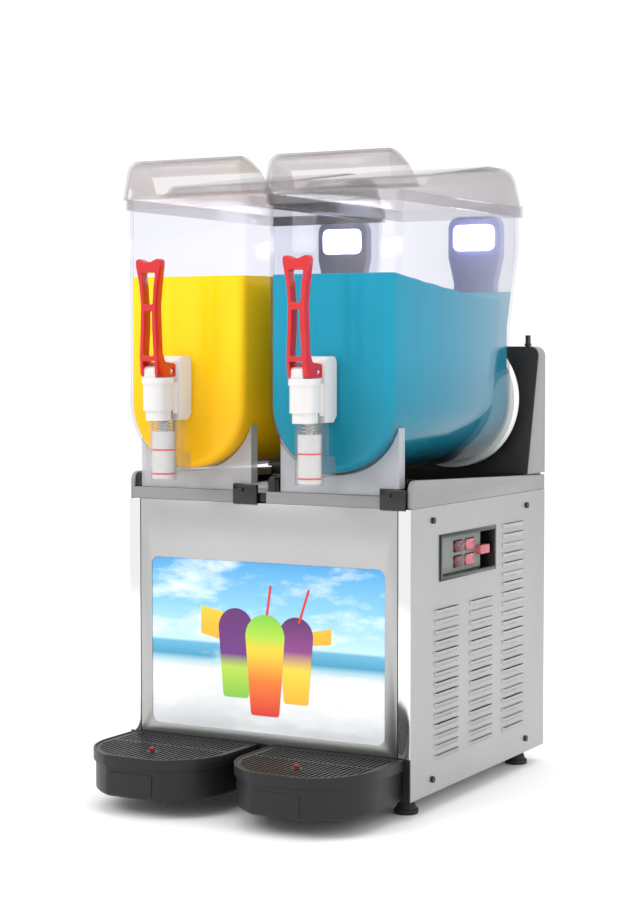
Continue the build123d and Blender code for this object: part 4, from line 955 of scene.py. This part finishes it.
# %% Grey plate
plate_x = side_x - 8
film = slab("switch_plate", plate_x + 0.05, plate_x + 0.35, 86, 215, 284, 329, place)
for node in ("power_switch", "light_switch", "left_bowl_switch", "right_bowl_switch"):
    low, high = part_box(node)
    combine(film, block("well", (low.x - 0.02, low.y + 0.9 * MM, low.z - 1.0 * MM),
                        (high.x + 0.02, high.y - 0.9 * MM, high.z + 1.0 * MM)))
combine(film, slab("slot", plate_x - 2, plate_x + 4, 200, 212, 303, 309, place))
settle(film, plate_grey, "cabinet", "grey_plastic")

# %% [markdown]
# ## Picture on the front
# Three tall cups of slush with straws are printed over the beach. They are cut as thin shapes, as
# stickers are, and lie in the depth of the window's edge, in front of the lit sheet.

# %% Printed cups
CUPS = [("left", -42, 128, 108, 18, 25, [(0.0, "#86C83C"), (1.0, "#5A1F66"), (0.35, "#B6D64A"),
                                         (0.5, "#6A2A80")]),
        ("right", 44, 126, 104, 17, 24, [(0.0, "#F2B81E"), (1.0, "#56205F"), (0.4, "#F0D23A"),
                                         (0.62, "#8A3A86")]),
        ("middle", 0, 108, 122, 20, 28, [(0.0, "#E2301E"), (1.0, "#7CC43A"), (0.35, "#F2781E"),
                                         (0.62, "#F7C52E"), (0.8, "#A9D43C")])]
for number, (name, x, low, tall, bottom, top, bands) in enumerate(CUPS):
    ink = printed(f"printed_cup_{name}", bands, low * MM, (low + tall) * MM)
    near = 0.62 - 0.2 * (number == 2)
    cup = front_solid("cup", rounded([(x - bottom, low, 4), (x + bottom, low, 4),
                                      (x + top, low + tall * 0.8, 1)]
                                     + [(x + a, low + b, 0) for a, b in
                                        arc(0, tall * 0.8, top, 8, 172, 14)]
                                     + [(x - top, low + tall * 0.8, 1)]), near, near + 0.15, place)
    settle(cup, ink, "cabinet", "printed_acrylic").name = f"printed_cup_{name}"
sail_ink = printed("printed_sail", [(0.0, "#F4A51E"), (1.0, "#F7C22C")], 0.19, 0.24)
for name, corners in (("left", [(-93, 205, 1), (-26, 190, 3), (-22, 226, 3), (-93, 240, 1)]),
                      ("right", [(34, 196, 2), (93, 203, 1), (93, 222, 1), (40, 212, 2)])):
    sail = front_solid("sail", rounded(corners), 0.78, 0.9, place)
    settle(sail, sail_ink, "cabinet", "printed_acrylic").name = f"printed_sail_{name}"
straw_ink = printed("printed_straw", [(0.0, "#D62D20"), (1.0, "#D62D20")], 0, 1)
for name, x, low, lean in (("middle", 2, 228, 6), ("right", 48, 226, 14)):
    straw = front_solid("straw", [(x - 1.6, low), (x + 1.6, low), (x + 1.6 + lean, low + 42),
                                  (x - 1.6 + lean, low + 42)], 0.6, 0.75, place)
    settle(straw, straw_ink, "cabinet", "printed_acrylic").name = f"printed_straw_{name}"

# %% [markdown]
# ## Lamp windows
# Near the top of each lamp post the lamp itself shows as a bright, rounded window.

# %% Lamp windows
lamp_near = (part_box("lamp_posts")[0].y - front_sheet) / MM
lens = front_solid("lens", rounded([(-30, 695, 8), (30, 695, 8), (30, 729, 8), (-30, 729, 8)]),
                   lamp_near - 0.8, lamp_near + 2)
settle_pair(lens, "lamp_window", lamp_light, "cabinet", "lamp_plastic")

# %% [markdown]
# ## Tap springs
# A pulled lever lifts the piston, and the spring above it is pressed shorter against the top of
# its chamber. Each spring is copied with its own mesh and given the drawn-wire finish; the copy keeps
# the CAD spring's length.

# %% Spring copies
for hand in SIDES:
    wire = frame["nodes"]["tap_spring_" + hand]
    coil = copied(wire, "tap_coil_" + hand)
    settle(coil, spring_steel, wire["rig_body"], "spring_steel", "tap_spring_" + hand)
    low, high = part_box("tap_spring_" + hand)
    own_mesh(coil)

# %% [markdown]
# ## The rest of the CAD's pieces
# What is small, round or hidden keeps its CAD shape and only takes a finish.

# %% Finishes for the pieces that stay
KEPT = {"base_pan": zinc_steel, "graphic_panel": beach_print, "led_boards": board_white,
        "cord_inlet": deck_abs, "screws": screw_steel, "evaporators": drum_steel,
        "bowl_gaskets": white_silicone, "gearmotors": black_paint, "compressor": black_paint,
        "condenser": fin_metal, "fan_shroud": black_paint, "fan_blades": fin_metal,
        "refrigerant_lines": copper}
for hand in SIDES:
    KEPT.update({"auger_" + hand: white_auger, "drive_shaft_" + hand: shaft_steel,
                 "tap_piston_" + hand: white_acetal, "piston_rings_" + hand: red_silicone,
                 "tray_float_" + hand: float_red, "tray_grid_" + hand: tray_abs})
for node, finish in KEPT.items():
    frame["nodes"][node].data.materials.clear()
    frame["nodes"][node].data.materials.append(finish)
print(len(KEPT), "CAD nodes kept with new finishes")

# %% [markdown]
# ## Floor, light and camera
# The machine stands on a white sweep under big soft lamps, as in a shop's catalogue. A pale world
# gives steel something bright to mirror. The view is from the front right, a little above the
# middle of the machine, through a long lens so that its upright edges stay upright.

# %% Studio
start()
bpy.ops.mesh.primitive_plane_add(size=40, location=(0, 0, 0))
floor = named("studio_floor")
floor_white = surface("white_paper_sweep", "#F7F7F7", (0.8, 0.9), 4.0, 0.01)
floor.data.materials.append(floor_white)

world = bpy.data.worlds.new("pale_studio")
bpy.context.scene.world = world
world.use_nodes = True
world.node_tree.nodes["Background"].inputs["Color"].default_value = linear("#FFFFFF")
world.node_tree.nodes["Background"].inputs["Strength"].default_value = 1.1

LAMPS = [("key", (-1.6, -2.6, 2.6), 1.8, 42.0), ("side", (3.0, -0.6, 1.8), 1.6, 16.0),
         ("top", (0.2, 0.2, 3.0), 2.2, 26.0)]
for name, spot_at, size, power in LAMPS:
    bpy.ops.object.light_add(type="AREA", location=spot_at)
    lamp = bpy.context.object
    lamp.name = "studio_" + name
    lamp.data.size = size
    lamp.data.energy = power
    aim = Vector((0, -0.05, 0.4)) - Vector(spot_at)
    lamp.rotation_euler = aim.to_track_quat("-Z", "Y").to_euler()

bpy.ops.object.camera_add(location=(1.2375, -2.2293, 0.5609),
                          rotation=(math.radians(90 - 2.919), 0, math.radians(29.204)))
camera = bpy.context.object
camera.data.lens = 79.48
camera.data.sensor_width = 36
bpy.context.scene.camera = camera
bpy.context.scene.view_settings.view_transform = "Standard"
